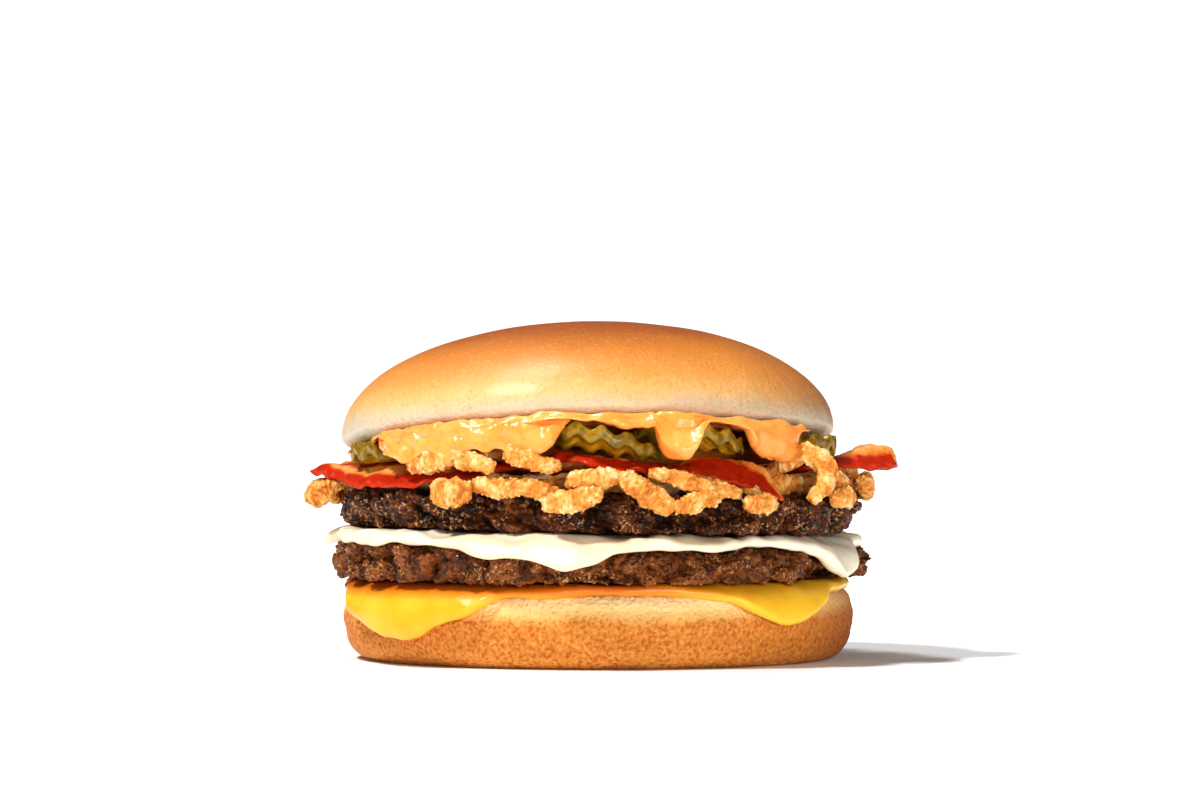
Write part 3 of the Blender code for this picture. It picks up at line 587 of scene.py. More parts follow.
def crisp_strip(points, width, thickness, seed, neck=1.0, rings=58, steps=36):
    """A flat fried strip: rings carried along a smooth curve, upright at first, with squared corners (the
    power 0.72 of cosine and sine), blunt ends (the power 0.36 of the sine of the way along), soft lumps and a
    crumb crust laid on along the normals."""
    along = np.linspace(0.012, 0.988, rings)
    centre = through(points, along)
    ahead = through(points, np.minimum(along + 0.03, 1)) - through(points, np.maximum(along - 0.03, 0))
    ahead /= np.linalg.norm(ahead, axis=1, keepdims=True)
    up, ups = np.array([0.0, 0.0, 1.0]), []
    for direction in ahead:
        up = up - direction * (up @ direction)
        up = up / np.linalg.norm(up)
        ups.append(up)
    ups = np.array(ups)
    side = np.cross(ups, ahead)
    turn = full_turn(steps)
    lumps = 1.0 + 0.06 * ripple(waves(seed, 4, (1, 3), 0.0), turn + 9 * along[:, None], 0)
    size = np.sin(math.pi * along) ** 0.36 * (neck + (1 - neck) * smooth(0.42, 0.78, along))
    full = (lumps * size[:, None])[..., None]
    wide, thick = (np.sign(wave) * np.abs(wave) ** 0.72 for wave in (np.cos(turn), np.sin(turn)))
    spoke = ups[:, None] * wide[:, None] * width / 2 + side[:, None] * thick[:, None] * thickness / 2
    strip = centre[:, None] + full * spoke
    crumb = 0.22 * grain(strip, 3.6, seed + 200)
    for coarse, rise in CRUMB_GRAINS:
        crumb += rise * (np.abs(grain(strip, coarse, seed + int(100 * coarse), 30)) - 0.45)
    return raised(strip, crumb), crumb


def rim_strips(rows, seed, root_height, last_root=math.tau):
    """The strips of a table, each along the rim, and the short pieces from their middles into the heap."""
    made = []
    for number, (azimuth, height, length, fall, width, reach) in enumerate(rows):
        middle, half, tilt = math.radians(azimuth), length / 2, math.radians(fall)
        shares = np.array([-1.0, 0.0, 1.0])
        turns = middle + shares * half * math.cos(tilt) / reach
        points = place(reach - 0.6 * np.abs(shares), turns, height - shares * half * math.sin(tilt))
        made.append(crisp_strip(points, width, STRIP_THICKNESS, seed + number))
        root = min(middle, last_root)
        start = root_height[number] if isinstance(root_height, tuple) else root_height
        join = np.array([place(ROOT_REACH, root, start), place(48.5, (root + middle) / 2, start), points[1]])
        made.append(crisp_strip(join, 1.9, 3.2, seed + number + 100, rings=16, steps=16))
    return made


def back_crisps():
    """Strips at even steps round the sides and the back, with seeded heights, lengths, falls and widths."""
    draws = random.Random(11)
    return tuple(
        (
            azimuth + draws.uniform(-4, 4), draws.uniform(32.4, 34.4), draws.uniform(9, 15),
            draws.uniform(-22, 22), draws.uniform(3.8, 5.0), draws.uniform(54.0, 55.0),
        )
        for azimuth in range(100, 268, 17)
    )


def onion_bed():
    """The flat heap that the strips grow from: a disc with a round edge, sunk at its underside."""
    full = ONION_CORE_TOP - ONION_Z
    half = full / 2
    section = np.concatenate([
        line((NEAR_AXIS, full), (ONION_CORE_RADIUS - half, full), 14),
        arc((ONION_CORE_RADIUS - half, half), (half, half), 90, -90, 22),
        line((ONION_CORE_RADIUS - full, 0), (NEAR_AXIS, 0), 8),
    ])
    reach, height = section[:, :1], section[:, 1:]
    azimuth = full_turn(620)
    sunk = settled(reach * np.sin(azimuth)) * (1 - height / full)
    rings = place(reach, azimuth, height + ONION_Z - sunk)
    crumb = 0.5 * grain(rings, 5.0, 90) + 0.7 * (np.abs(grain(rings, 3.0, 91)) - 0.3)
    crumb += 0.3 * np.abs(grain(rings, 1.2, 92))
    side = smooth(ONION_CORE_RADIUS - 3, ONION_CORE_RADIUS - 0.4, reach)
    return raised(rings, side * (crumb + 0.4)), 0.8 * crumb


def fried_crumb():
    """Golden tones by patches and by the height of the crumb, darker down in its crevices as painted shade,
    with small browned grains.
    """
    material, tree = new_finish("fried onion crumb", 0.55, 0.3, soft=(0.1, 0.0015))
    # Painted shade: the crumb darkens where its relief is low, in the crevices between lumps.
    high = ease(tree, mark_of(tree), -0.35, 0.6)
    value = plus(tree, times(tree, high, 0.62), times(tree, specks(tree, 3.5, 4, 0.6), 0.74))
    golden = ((0.0, (0.20, 0.036, 0.005)), (0.26, (0.52, 0.14, 0.017)), (0.44, (0.80, 0.29, 0.045)),
              (0.64, (0.91, 0.44, 0.11)), (1.0, (0.96, 0.70, 0.36)))
    colour = tones(tree, value, golden)
    colour = mix(tree, ease(tree, specks(tree, 0.9, 3), 0.55, 0.66, 0, 0.6), colour, (0.48, 0.14, 0.022))
    return finished(material, colour, (specks(tree, 1.0, 4, 0.65), 0.6), (specks(tree, 0.4, 3, 0.6), 0.3))


crumb_crust = fried_crumb()
heap = [onion_bed()] + rim_strips(FRONT_CRISPS + SIDE_CRISPS + back_crisps(), 0, ROOT_Z)
curl_table = np.array(CURL)
curl_points = place(curl_table[:, 0], np.radians(curl_table[:, 1]), curl_table[:, 2])
heap.append(crisp_strip(curl_points, 4.0, STRIP_THICKNESS, 51, rings=80))
for count, (azimuth, reach, drop, width) in enumerate(CLUMP):
    run = np.array([(ROOT_REACH, ROOT_Z), (49.5, 35.7), (55.0, 33.8), (reach, 33.8 - drop)])
    clump_points = place(run[:, 0], math.radians(azimuth), run[:, 1])
    heap.append(crisp_strip(clump_points, width, 4.6, 52 + count, neck=1.9 / width, rings=60))
piece("onion_heap", heap, crumb_crust, "onions_lower")

# The bacon: two thin streaky rashers of cured pork, fried until their edges ruffled, laid on the onions. One
# lies along the front, red at its edge with golden fat behind. One crosses from the back left to the right.
BACON_Z = 37.6
BACON_THICKNESS = 1.5
BACON_WIDTH = 18.0
# Azimuth in degrees, the front edge's distance from the axis, its height and the arch behind it.
FRONT_EDGE = (
    (-86, 57.6, 38.2, 0.2), (-79, 54.8, 37.6, 0.2), (-74, 53.0, 36.6, 0.6), (-65, 52.2, 35.6, 1.5),
    (-48.5, 52.2, 35.9, 1.4), (-38.6, 51.6, 36.6, 1.0), (-29.6, 49.0, 37.8, 0.6), (-19.5, 47.6, 39.2, 0.6),
    (-9.6, 48.6, 40.8, 0.6), (-4, 49.6, 40.4, 0.8), (1.2, 50.2, 39.2, 1.4), (5, 50.4, 38.8, 1.4),
    (12.2, 50.4, 38.7, 0.4), (18.5, 50.6, 38.3, 0.2), (23.2, 51.0, 37.6, 2.0), (27.8, 51.6, 37.0, 2.6),
    (32.7, 52.2, 35.7, 2.8), (37.9, 53.0, 34.2, 2.6), (42, 53.6, 33.2, 2.4),
)
# Front edge x, y, z, back edge x, y, z and the arch behind the front edge.
CROSSING = (
    (-55, 22, 37.2, -48, 37, 37.2, 0.6), (-50, 18, 38.2, -43, 34, 38.1, 0.3),
    (-41, 13.4, 38.1, -35, 30.4, 38.1, 0), (-32, 10, BACON_Z, -27, 27.6, BACON_Z, 0),
    (-20, 6, BACON_Z, -16, 24, BACON_Z, 0), (0, -1, BACON_Z, 3, 17, BACON_Z, 0),
    (20, -8, BACON_Z, 23, 10, BACON_Z, 0), (36, -14, BACON_Z, 37, 4, BACON_Z, 0),
    (44, -15, 38.6, 44.5, 3, 38.6, 0.4), (49, -14.8, 38.6, 49, 3, 40.0, 0.8),
    (53.5, -14, 38.2, 52, 3.6, 41.6, 0.4), (57, -11, 38.2, 55.4, 4.6, 41.8, 0.2),
    (59.6, -7, 38.8, 58.4, 4, 41.0, 0.4),
)
# How wide the red front of a rasher is, at even steps along it.
FRONT_LEAN = (0.09, 0.09, 0.10, 0.14, 0.20, 0.24, 0.21)
CROSSING_LEAN = (0.15, 0.15, 0.2, 0.27)


def rasher(stations, seed, lean, roll, rings=300, steps=96):
    """A rippled strip between a front and a back edge that run smoothly through the stations. Its height goes
    from the front edge's to the back edge's along an S-curve, with a squared sine as arch behind the front,
    and the thickness closes round both edges and both ends. The front edge rolls down by roll, the ruffles
    are soft noise, and lean says how wide the red front is at even steps along the strip."""
    along = np.linspace(0.002, 0.998, rings)
    table = through(stations, along)[:, None, :]
    turn = full_turn(steps)
    back = (1 - np.cos(turn)) / 2
    ends = np.minimum(1, np.sqrt(np.minimum(along, 1 - along) / 0.012))[:, None]
    half = BACON_THICKNESS / 2 * np.sign(np.sin(turn)) * np.abs(np.sin(turn)) ** 0.35 * ends
    arch = table[..., 6] * np.sin(math.pi * np.minimum(back / 0.6, 1)) ** 2
    level = table[..., 2] + (table[..., 5] - table[..., 2]) * smooth(0, 0.6, back) + arch
    x = table[..., 0] + (table[..., 3] - table[..., 0]) * back
    y = table[..., 1] + (table[..., 4] - table[..., 1]) * back
    sheet = np.stack([x, y, level], axis=-1)
    edge = smooth(0.30, 0.0, back)
    ruffle = 0.45 * edge * grain(sheet * (1, 1, 0), 6.5, seed) + 0.22 * grain(sheet, 3.2, seed + 1)
    sheet[..., 2] += ruffle + half - roll * smooth(0.11, 0.0, back)
    fray = np.where(back < 0.5, -1, 1) * smooth(0.35, 0.5, np.abs(back - 0.5))
    sheet[..., 1] += 0.5 * fray * grain(sheet, 4.0, seed + 2)
    fatty_end = 0.16 * smooth(0.955, 0.985, along)[:, None]
    return sheet, fatty_end + back * 0.15 / np.interp(along, np.linspace(0, 1, len(lean)), lean)[:, None]


def cured_meat():
    """Streaks of lean and fat across the rasher by its mark, moved by soft noise, with darker patches."""
    material, tree = new_finish("fried streaky bacon", 0.36, 0.12, soft=(0.05, 0.001), coat=(0.04, 0.1))
    across = plus(tree, mark_of(tree), wander(tree, 9, 0.14))
    streaks = ((0.0, (0.46, 0.030, 0.004)), (0.06, (0.39, 0.017, 0.002)), (0.14, (0.43, 0.023, 0.003)),
               (0.19, (0.76, 0.24, 0.040)), (0.30, (0.82, 0.39, 0.12)), (0.42, (0.74, 0.24, 0.045)),
               (0.50, (0.38, 0.028, 0.003)), (0.80, (0.35, 0.022, 0.003)), (1.0, (0.78, 0.35, 0.10)))
    colour = tones(tree, across, streaks)
    colour = mix(tree, ease(tree, specks(tree, 2.2, 3), 0.52, 0.70, 0, 0.45), colour, (0.28, 0.018, 0.003))
    return finished(material, colour, (specks(tree, 2.4, 3), 0.5), (specks(tree, 0.6, 3), 0.2))


bacon = cured_meat()
edge_table = np.array(FRONT_EDGE)
edge_turns = np.radians(edge_table[:, 0])
front_points = place(edge_table[:, 1], edge_turns, edge_table[:, 2])
back_points = place(edge_table[:, 1] - BACON_WIDTH, edge_turns, BACON_Z)
front_stations = np.hstack([front_points, back_points, edge_table[:, 3:]])
piece("front_rasher", [rasher(front_stations, 31, FRONT_LEAN, 0.8)], bacon, "bacon_front")
piece("right_rasher", [rasher(np.array(CROSSING), 41, CROSSING_LEAN, 0.2)], bacon, "bacon_right")

# The upper onions: three more strips of onion in the same crisp crumb. They lie on the bacon at the front
# left, half sunk in the sauce.
UPPER_CRISPS = (
    (-38, 39.6, 12, -8, 4.2, 52.6), (-27.5, 39.8, 11, 12, 3.8, 53.0), (-14, 40.0, 12, 14, 3.6, 52.8),
)
# The strip behind them that joins their roots: azimuth in degrees and height.
UPPER_BED = ((-46, 40.6), (-36, 40.6), (-26, 41.2), (-16, 42.2))

bed_table = np.array(UPPER_BED)
bed_points = place(ROOT_REACH, np.radians(bed_table[:, 0]), bed_table[:, 1])
upper_heap = [crisp_strip(bed_points, 3.2, 11.0, 61)]
upper_heap += rim_strips(UPPER_CRISPS, 70, (40.6, 40.8, 42.0), math.radians(-21))
piece("upper_onions", upper_heap, crumb_crust, "onions_upper")

# The pickles: gherkins cut with a crinkle blade and brined. The skin round the edge of a slice is dark green,
# and the cut faces are wet and yellow-green. Five slices stick out from under the top bun.
PICKLE_HALF = (11.2, 10.5)
PICKLE_THICKNESS = 2.6
CRINKLE_PITCH = 4.8
CRINKLE_HEIGHT = 0.65
# Azimuth in degrees, distance of the middle, its height, rise of the outer edge, slope down to the right.
PICKLES = {
    "pickle_left": (-67, 41.0, 40.9, 0.4, -4.0),
    "pickle_front": (1, 41.0, 42.5, 2.2, 12.0),
    "pickle_front_right": (24, 41.0, 43.6, 1.6, 11.0),
    "pickle_right": (66, 39.5, 42.0, 0.8, 3.0),
    "pickle_back": (168, 38.6, 38.9, -0.5, 0.0),
}


def pickle_level(name, across, out):
    """Height of the middle of a slice and the share of its full thickness, from the distances across and out:
    the outer part rises and slopes, the inner part is pressed flat by the bun."""
    _, _, height, rise, slope = PICKLES[name]
    outer = smooth(-4, 8, out)
    level = height + rise * smooth(2, PICKLE_HALF[1], out)
    return level - across * math.tan(math.radians(slope)) * (0.45 + 0.55 * outer), 0.58 + 0.42 * outer


def pickle_slice(name, seed):
    """An oval slice from its middle out over the cut face, round the skin and back: heights are the level
    plus the crinkle, a cosine across the slice, and half the thickness."""
    azimuth, distance = math.radians(PICKLES[name][0]), PICKLES[name][1]
    shares = np.concatenate([np.linspace(0.02, 0.9, 22), np.linspace(0.92, 1, 8)])
    rows = np.concatenate([
        np.column_stack([shares, np.ones(30)]),
        np.column_stack([1 + 0.03 * np.cos(np.linspace(-1.2, 1.2, 8)), np.linspace(0.86, -0.86, 8)]),
        np.column_stack([shares[::-1], -np.ones(30)]),
    ])
    turn = full_turn(220)
    across = rows[:, :1] * PICKLE_HALF[0] * np.cos(turn)
    out = -rows[:, :1] * PICKLE_HALF[1] * np.sin(turn)
    level, share = pickle_level(name, across, out)
    wave = CRINKLE_HEIGHT * np.cos(math.tau * across / CRINKLE_PITCH)
    height = level + share * (wave + rows[:, 1:] * PICKLE_THICKNESS / 2)
    rings = place(distance + out, azimuth, height) + place(across, azimuth + math.pi / 2, 0)
    rings = raised(rings, 0.10 * grain(rings, 2.6, seed) + 0.05 * grain(rings, 1.0, seed + 1))
    return rings, smooth(0.68, 0.92, rows[:, :1]) + 0 * turn


def brined_gherkin():
    """Mottled flesh and mottled rind, mixed by the mark."""
    material, tree = new_finish("brined gherkin", 0.28, 0.25, soft=(0.12, 0.0015), coat=(0.16, 0.06))
    flesh = mix(tree, ease(tree, specks(tree, 2.4, 3), 0.38, 0.66), (0.60, 0.35, 0.014), (0.76, 0.45, 0.030))
    rind = mix(tree, ease(tree, specks(tree, 1.6, 3), 0.40, 0.66), (0.15, 0.093, 0.004), (0.33, 0.185, 0.009))
    return finished(material, mix(tree, mark_of(tree), flesh, rind), (specks(tree, 1.2, 3), 0.3))


gherkin = brined_gherkin()
for count, name in enumerate(PICKLES):
    piece(name + "_slice", [pickle_slice(name, 80 + 2 * count)], gherkin, name)

# The sauce: thick pale orange burger sauce with ground spice in it, spread under the top bun. It has run over
# the pickles and the upper onions, and bulges out in a shiny lip with a few slow drips.
# The top bun's own sizes stand here, because the sauce fills the space under it.
CROWN_RADIUS = 49.0
CROWN_HEIGHT = 24.4
CROWN_RIM = (4.0, 2.4)
CROWN_X = -2.0
CROWN_Z = 42.6
CROWN_LEAN = math.radians(4.2)
CROWN_ROLL = math.radians(1.2)
CROWN_ARCH = 2.2
CROWN_CUT = ((0, 3.0), (29, 2.2), (40, 1.0), (45, 0))
SAUCE_FLOOR = BACON_Z + BACON_THICKNESS / 2 + GAP
# The lower edge of the sauce: soft drips and steep runs. Centre in degrees, drop, half width in degrees.
DRIPS = ((-34, 1.6, 17), (-8, 1.6, 4))
DRIP_AT = 17.0
RIGHT_RUN_AT = 43.0
RUNS = ((DRIP_AT, 5.6, 4.2), (RIGHT_RUN_AT - 5.5, 2.8, 4.0), (RIGHT_RUN_AT + 3.5, 4.8, 6.5))
SCALLOPS = ((-52, 1.2, 5), (-43, 2.4, 4), (-32, 4.2, 4), (-24, 1.6, 3), (-17, 3.4, 3.5), (-11, 2.4, 3))
COAT_ENDS = (-57, -6)


def crown_arch(y, z=0.0):
    """How far the cut face of the top bun arches up to the front and the back: the square of the distance."""
    return CROWN_ARCH * (y / CROWN_RADIUS) ** 2 * (1 - z / CROWN_HEIGHT)


def crown_underside(radius, azimuth):
    """Height of the top bun's hollow cut face and of the underside of its rim at a distance from the axis."""
    x, y = radius * np.sin(azimuth) - CROWN_X, -radius * np.cos(azimuth)
    inside = np.hypot(x, y)
    rim = np.clip((inside - CROWN_RADIUS + CROWN_RIM[0]) / CROWN_RIM[0], 0, 1)
    cut = np.array(CROWN_CUT)
    local = np.interp(inside, cut[:, 0], cut[:, 1]) + CROWN_RIM[1] * (1 - np.sqrt(1 - rim * rim))
    return CROWN_Z + local + crown_arch(y) - y * math.sin(CROWN_LEAN) + x * math.sin(CROWN_ROLL)


def pickle_top(radius, azimuth):
    """Top of any pickle slice at a place, with room for its waves, or far below the table where none is."""
    highest = PICKLE_THICKNESS / 2 + CRINKLE_HEIGHT
    top = np.full(np.broadcast(radius, azimuth).shape, -1000.0)
    for name, (centre, distance, _, _, _) in PICKLES.items():
        turn = azimuth - math.radians(centre)
        across, out = radius * np.sin(turn), radius * np.cos(turn) - distance
        level, share = pickle_level(name, across, out)
        here = np.hypot(across / (PICKLE_HALF[0] + 2), out / (PICKLE_HALF[1] + 1)) < 1
        top = np.where(here, np.maximum(top, level + share * highest + 0.2), top)
    return top


def runs(azimuth):
    """Blunt drips with steep sides: each falls off as the exponential of minus the fourth power."""
    total = 0 * azimuth
    for centre, height, width in RUNS:
        total = total + height * np.exp(-(((np.degrees(azimuth) - centre) / width) ** 4))
    return total


def sauce_body():
    """The half section of the sauce at every azimuth, as points from its top centre under the bun, up the
    lip, down the bulging edge and back over the pickles, joined by smooth curves and softened all round."""
    azimuth = np.linspace(-math.pi, math.pi, 560, endpoint=False)
    degrees = np.degrees(azimuth)
    rim = CROWN_RADIUS + CROWN_X * np.sin(azimuth)
    base = crown_underside(rim - CROWN_RIM[0], azimuth)
    show = smooth(67, 51, np.abs(degrees))
    low = base - (0.9 + 0.7 * show + lobes(azimuth, DRIPS) + runs(azimuth))
    reaches = np.arange(44, 53)[:, None]
    tops = pickle_top(reaches, azimuth)
    covered = (tops > 0).any(axis=0)
    last = 52 - np.argmax(tops[::-1] > 0, axis=0)
    last_top = pickle_top(last, azimuth)
    from_drip, from_run = np.abs(degrees - DRIP_AT), np.abs(degrees - RIGHT_RUN_AT)
    hanging = (from_drip < 4.5) | (from_run < 8.5)
    low = np.where(covered & ~hanging, np.maximum(low, last_top + GAP), low)
    lip = np.maximum(base + 0.7 + lobes(azimuth, ((0, 0.4, 50),)), low + 0.9)
    near_drip = covered & ((from_drip < 13) | (from_run < 13))
    inner_side = np.where(near_drip, np.maximum(last + 1.0 - rim, 0.3), 0.3)
    bulge = 0.6 * lobes(azimuth, ((-40, 1, 20), (DRIP_AT, 1.6, 5), (RIGHT_RUN_AT, 1, 9)))
    tuck = rim - (1.6 + 5.5 * (1 - show) * lobes(azimuth, ((-72, 1, 13), (72, 1, 13))))
    wall_top = np.where(covered & hanging, last_top + GAP, low + 0.3)

    def over(radius):
        return crown_underside(radius, azimuth) - 1.5 * GAP

    def under(radius):
        resting = np.maximum(over(radius) - 0.9, pickle_top(radius, azimuth) + GAP)
        return np.minimum(resting, over(radius) - 0.25)

    top = over(tuck)
    low = np.where((show < 1) & ~covered, np.minimum(low, top - 0.9), low)
    edge = (
        (0.45, lip, -1.3, top - 0.05), (1.3, lip - 0.1, -1.0, top - 0.2),
        (2.2 + bulge, (lip + base) / 2 - 0.6, -0.8, top - 0.4),
        (inner_side + 1.8 + bulge, (2 * low + base) / 3, -0.8, top - 0.6),
        (inner_side + 1.0 + bulge, low, -1.0, low), (inner_side, low + 0.1, -1.3, low + 0.1),
        (inner_side, wall_top, -1.4, np.minimum(wall_top, top - 0.4)),
    )
    inner = (np.minimum(45, tuck - 0.8), np.minimum(41, tuck - 3.0))
    tops_at = (NEAR_AXIS, 15, 30, inner[1], inner[0], tuck)
    section = [(r + 0 * azimuth, over(r + 0 * azimuth)) for r in tops_at]
    for shown, level, hidden, hidden_level in edge:
        inside = tuck + 1.6 + hidden
        section.append((inside + (rim + shown - inside) * show, hidden_level + (level - hidden_level) * show))
    section.append((tuck, np.minimum(under(tuck), top - 0.3)))
    fill = smooth(86, 98, np.abs(degrees)) * (1 - np.minimum(lobes(azimuth, ((168, 2.0, 16),)), 1))
    for reach, share in ((inner[0], 0), (inner[1], 0.4), (35 + 0 * azimuth, 1), (30 + 0 * azimuth, 1)):
        section.append((reach, under(reach) + (SAUCE_FLOOR - under(reach)) * share * fill))
    section += [(r + 0 * azimuth, SAUCE_FLOOR + 0 * azimuth) for r in (25, NEAR_AXIS)]
    section = np.array([np.stack(pair, axis=-1) for pair in section])
    spread = np.exp(-((np.arange(-6, 7) / 1.6) ** 2))
    section = sum(np.roll(section, k, axis=1) * w for k, w in zip(range(-6, 7), spread / spread.sum()))
    fine = through(section, np.linspace(0, 1, 120))
    rings = place(fine[..., 0], azimuth, fine[..., 1])
    visible = smooth(44, 48, fine[..., 0])
    return raised(rings, visible * (0.32 * grain(rings, 6.5, 95) + 0.17 * grain(rings, 3.2, 96)))


def sauce_coat():
    """The sauce that has run over the upper onions: a sheet from under the bun's rim out over the strips and
    down to a scalloped edge, the sum of lobes, with an elliptic bulge on the way and round edges."""
    left, right = COAT_ENDS
    azimuth = np.radians(np.linspace(left, right, 300))
    ends = smooth(left, left + 8, np.degrees(azimuth)) * smooth(right, right - 5, np.degrees(azimuth))
    turn = full_turn(90)
    share = (1 - np.cos(turn)) / 2
    thick = 0.55 * np.sign(np.sin(turn)) * np.abs(np.sin(turn)) ** 0.5
    rim = (CROWN_RADIUS + CROWN_X * np.sin(azimuth))[:, None]
    start = (crown_underside(rim[:, 0] - 3.0, azimuth) + 0.3)[:, None]
    drop = (0.8 + ends * (3.2 + lobes(azimuth, SCALLOPS)))[:, None]
    out = (1.0 + 3.5 * ends)[:, None]
    bend = share * math.pi / 2
    radius = rim - 1.4 + out * np.sin(bend) ** 0.8 + thick * np.sin(bend)
    height = start - drop * (1 - np.cos(bend)) ** 1.1 + thick * np.cos(bend)
    rings = place(radius, azimuth[:, None], height)
    return raised(rings, 0.52 * grain(rings, 5.0, 97) + 0.14 * grain(rings, 2.4, 98))


def spiced_sauce():
    """Two soft tones with fine dark specks of spice."""
    soft = (0.25, 0.003, (1.0, 0.5, 0.2))
    material, tree = new_finish("spiced burger sauce", 0.25, 0.35, soft, coat=(0.18, 0.06))
    colour = mix(tree, ease(tree, specks(tree, 5, 3), 0.35, 0.68), (0.88, 0.285, 0.050), (0.91, 0.355, 0.085))
    colour = mix(tree, ease(tree, specks(tree, 0.75, 2), 0.64, 0.72, 0, 0.8), colour, (0.66, 0.18, 0.02))
    return finished(material, colour, (specks(tree, 3.2, 3), 0.4), (specks(tree, 0.7, 2), 0.05))


piece("sauce_layer", [sauce_body(), sauce_coat()], spiced_sauce(), "sauce")

# The top bun: a soft plain wheat bun with a thin shiny crust, baked deep golden on top and cream at its rim.
# It leans back a little, and its cut face arches over the filling.
CROWN_CRUST = ((0.0, (0.48, 0.425, 0.31)), (0.09, (0.52, 0.455, 0.335)), (0.19, (0.56, 0.43, 0.27)),
               (0.29, (0.66, 0.37, 0.135)), (0.44, (0.64, 0.265, 0.062)), (0.66, (0.53, 0.180, 0.024)),
               (0.84, (0.35, 0.088, 0.010)), (1.0, (0.27, 0.058, 0.006)))


def top_bun():
    """The half section of an elliptic dome, a small round rim and a hollow cut, turned round the axis,
    arched, then leaned back and rolled to the left by turning about X and Y."""
    dome = arc((0, CROWN_RIM[1]), (CROWN_RADIUS, CROWN_HEIGHT - CROWN_RIM[1]), 89.4, 0, 96)
    under = arc((CROWN_RADIUS - CROWN_RIM[0], CROWN_RIM[1]), CROWN_RIM, -5, -90, 18)
    cut, inwards = np.array(CROWN_CUT), np.linspace(44, NEAR_AXIS, 14)
    hollow = np.column_stack([inwards, np.interp(inwards, cut[:, 0], cut[:, 1])])
    section = np.concatenate([dome, under, hollow])
    azimuth = full_turn(640)
    rings = place(section[:, :1] * uneven(azimuth, 0.004, 4.0), azimuth, section[:, 1:])
    rings[..., 2] += crown_arch(rings[..., 1], rings[..., 2])
    lower = smooth(14, 3, section[:, 1:])
    wrinkles = 0.10 * grain(rings, 7, 102) + 0.03 * grain(rings, 2.4, 103)
    rings = raised(rings, 0.12 * grain(rings, 16, 101) + lower * wrinkles)
    x, y, z = rings[..., 0], rings[..., 1], rings[..., 2]
    straight, tilt = math.cos(CROWN_LEAN), math.sin(CROWN_LEAN)
    y, z = y * straight + z * tilt, z * straight - y * tilt
    straight, tilt = math.cos(CROWN_ROLL), math.sin(CROWN_ROLL)
    x, z = x * straight - z * tilt, z * straight + x * tilt
    return np.stack([x + CROWN_X, y, z + CROWN_Z], axis=-1)


def golden_crust():
    """Tones by height in the bun's own lean, from the cream rim to the brown top, with fine pores and painted
    shade darkening the right side, which lies away from the lamps."""
    material, tree = new_finish("golden top crust", 0.45, 0.1, soft=(0.04, 0.002), coat=(0.55, 0.40, 1.45))
    lean = (-math.sin(CROWN_ROLL), math.sin(CROWN_LEAN), math.cos(CROWN_LEAN))
    level = plus(tree, level_along(tree, lean, CROWN_Z, CROWN_Z + CROWN_HEIGHT), wander(tree, 16, 0.16))
    colour = tones(tree, level, CROWN_CRUST)
    pores = specks(tree, 0.8, 3, 0.6)
    colour = mix(tree, ease(tree, pores, 0.44, 0.28, 0, 0.45), colour, (0.52, 0.16, 0.022))
    colour = mix(tree, ease(tree, pores, 0.56, 0.72, 0, 0.25), colour, (0.95, 0.58, 0.22))
    # Painted shade: the crust darkens towards its right side, more above the rim than at it.
    toasted = level_along(tree, TOASTED_SIDE, 12, 52)
    toasted = times(tree, toasted, ease(tree, level, 0.06, 0.36, 0.15, 0.88))
    colour = mix(tree, toasted, colour, (0.36, 0.104, 0.022))
    return finished(material, colour, (pores, 0.30), (specks(tree, 3.0, 2), 0.25))


piece("top_bun", [top_bun()], golden_crust(), "bun_top")

# The table and the light: a plain pale surface, a small lamp above to the left, a broad one in front, a weak
# one overhead that shines on the top crust, and a dim room that looks white to the camera.
CAMERA_AT = (0.0004, -1.0, 0.0515)
LENS = 150.0
TABLE_HALF = 3
BURGER_MIDDLE = 0.03
# Name, place and size in metres, watts.
LAMPS = (
    ("lamp_above", (-0.39, -0.30, 0.72), 0.07, 6.0),
    ("lamp_front", (0.34, -1.00, 0.12), 0.40, 6.2),
    ("lamp_over", (-0.20, 0.09, 0.80), 0.18, 3.3),
)


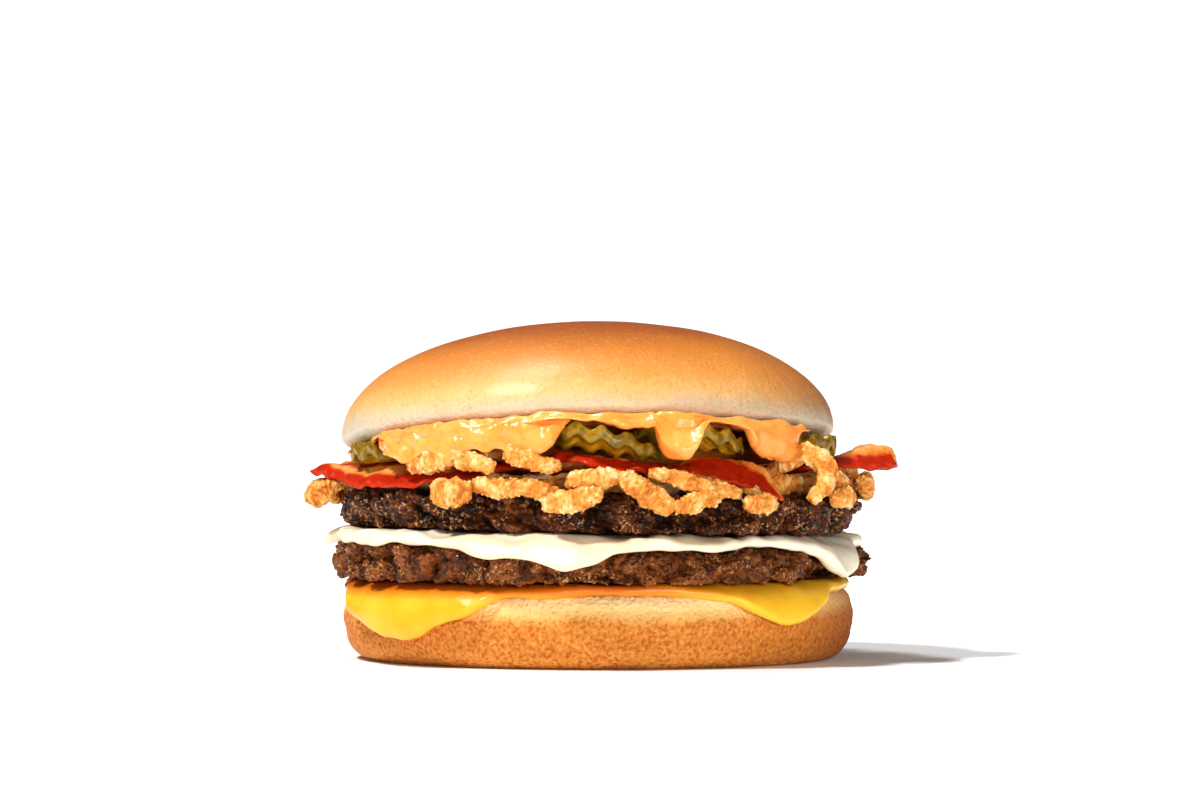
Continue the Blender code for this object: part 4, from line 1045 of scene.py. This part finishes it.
def table_surface():
    """A pale matt sheet that glows towards its far edge, so that it meets the bright room without a line."""
    material, tree = new_finish("pale matt table", 0.8, 0.5)
    away = put(tree, "VectorMath", {0: place_of(tree)}, operation="LENGTH").outputs["Value"]
    inputs = {"Value": away, "From Min": 0.08, "From Max": 0.25, "To Min": 0.04}
    glow = put(tree, "MapRange", inputs).outputs["Result"]
    shader = tree.nodes["Principled BSDF"]
    shader.inputs["Base Color"].default_value = (0.9, 0.9, 0.9, 1)
    shader.inputs["Emission Color"].default_value = (1, 1, 1, 1)
    tree.links.new(glow, shader.inputs["Emission Strength"])
    return material


def lamp(name, position, size, watts):
    """A square lamp that looks at the middle of the burger."""
    light = bpy.data.lights.new(name, "AREA")
    light.size, light.energy = size, watts
    made = added(name, light)
    made.location = position
    towards = made.location.copy()
    towards.z -= BURGER_MIDDLE
    made.rotation_euler = towards.to_track_quat("Z", "Y").to_euler()


def bright_room():
    """Even dim light from all sides, and plain white where the camera looks past the table."""
    world = bpy.data.worlds.new("bright_room")
    bpy.context.scene.world = world
    world.use_nodes = True
    tree = world.node_tree
    seen = put(tree, "LightPath", {}).outputs["Is Camera Ray"]
    strength = put(tree, "MapRange", {"Value": seen, "To Min": 0.12, "To Max": 1.0}).outputs["Result"]
    background = tree.nodes["Background"]
    background.inputs["Color"].default_value = (1, 1, 1, 1)
    tree.links.new(strength, background.inputs["Strength"])


table_mesh = bpy.data.meshes.new("table")
table_mesh.from_pydata(
    [(x * TABLE_HALF, y * TABLE_HALF, 0) for x, y in ((-1, -1), (1, -1), (1, 1), (-1, 1))], [], [(0, 1, 2, 3)]
)
table_mesh.materials.append(table_surface())
table = added("table", table_mesh)
bright_room()
for row in LAMPS:
    lamp(*row)
bpy.context.scene.view_settings.view_transform = "Standard"
bpy.context.scene.view_settings.look = "Medium High Contrast"

camera = added("camera", bpy.data.cameras.new("camera"))
camera.location = CAMERA_AT
camera.rotation_euler = (math.pi / 2, 0, 0)
camera.data.lens = LENS
camera.data.sensor_width = 36.0
camera.data.clip_start = 0.01
bpy.context.scene.camera = camera
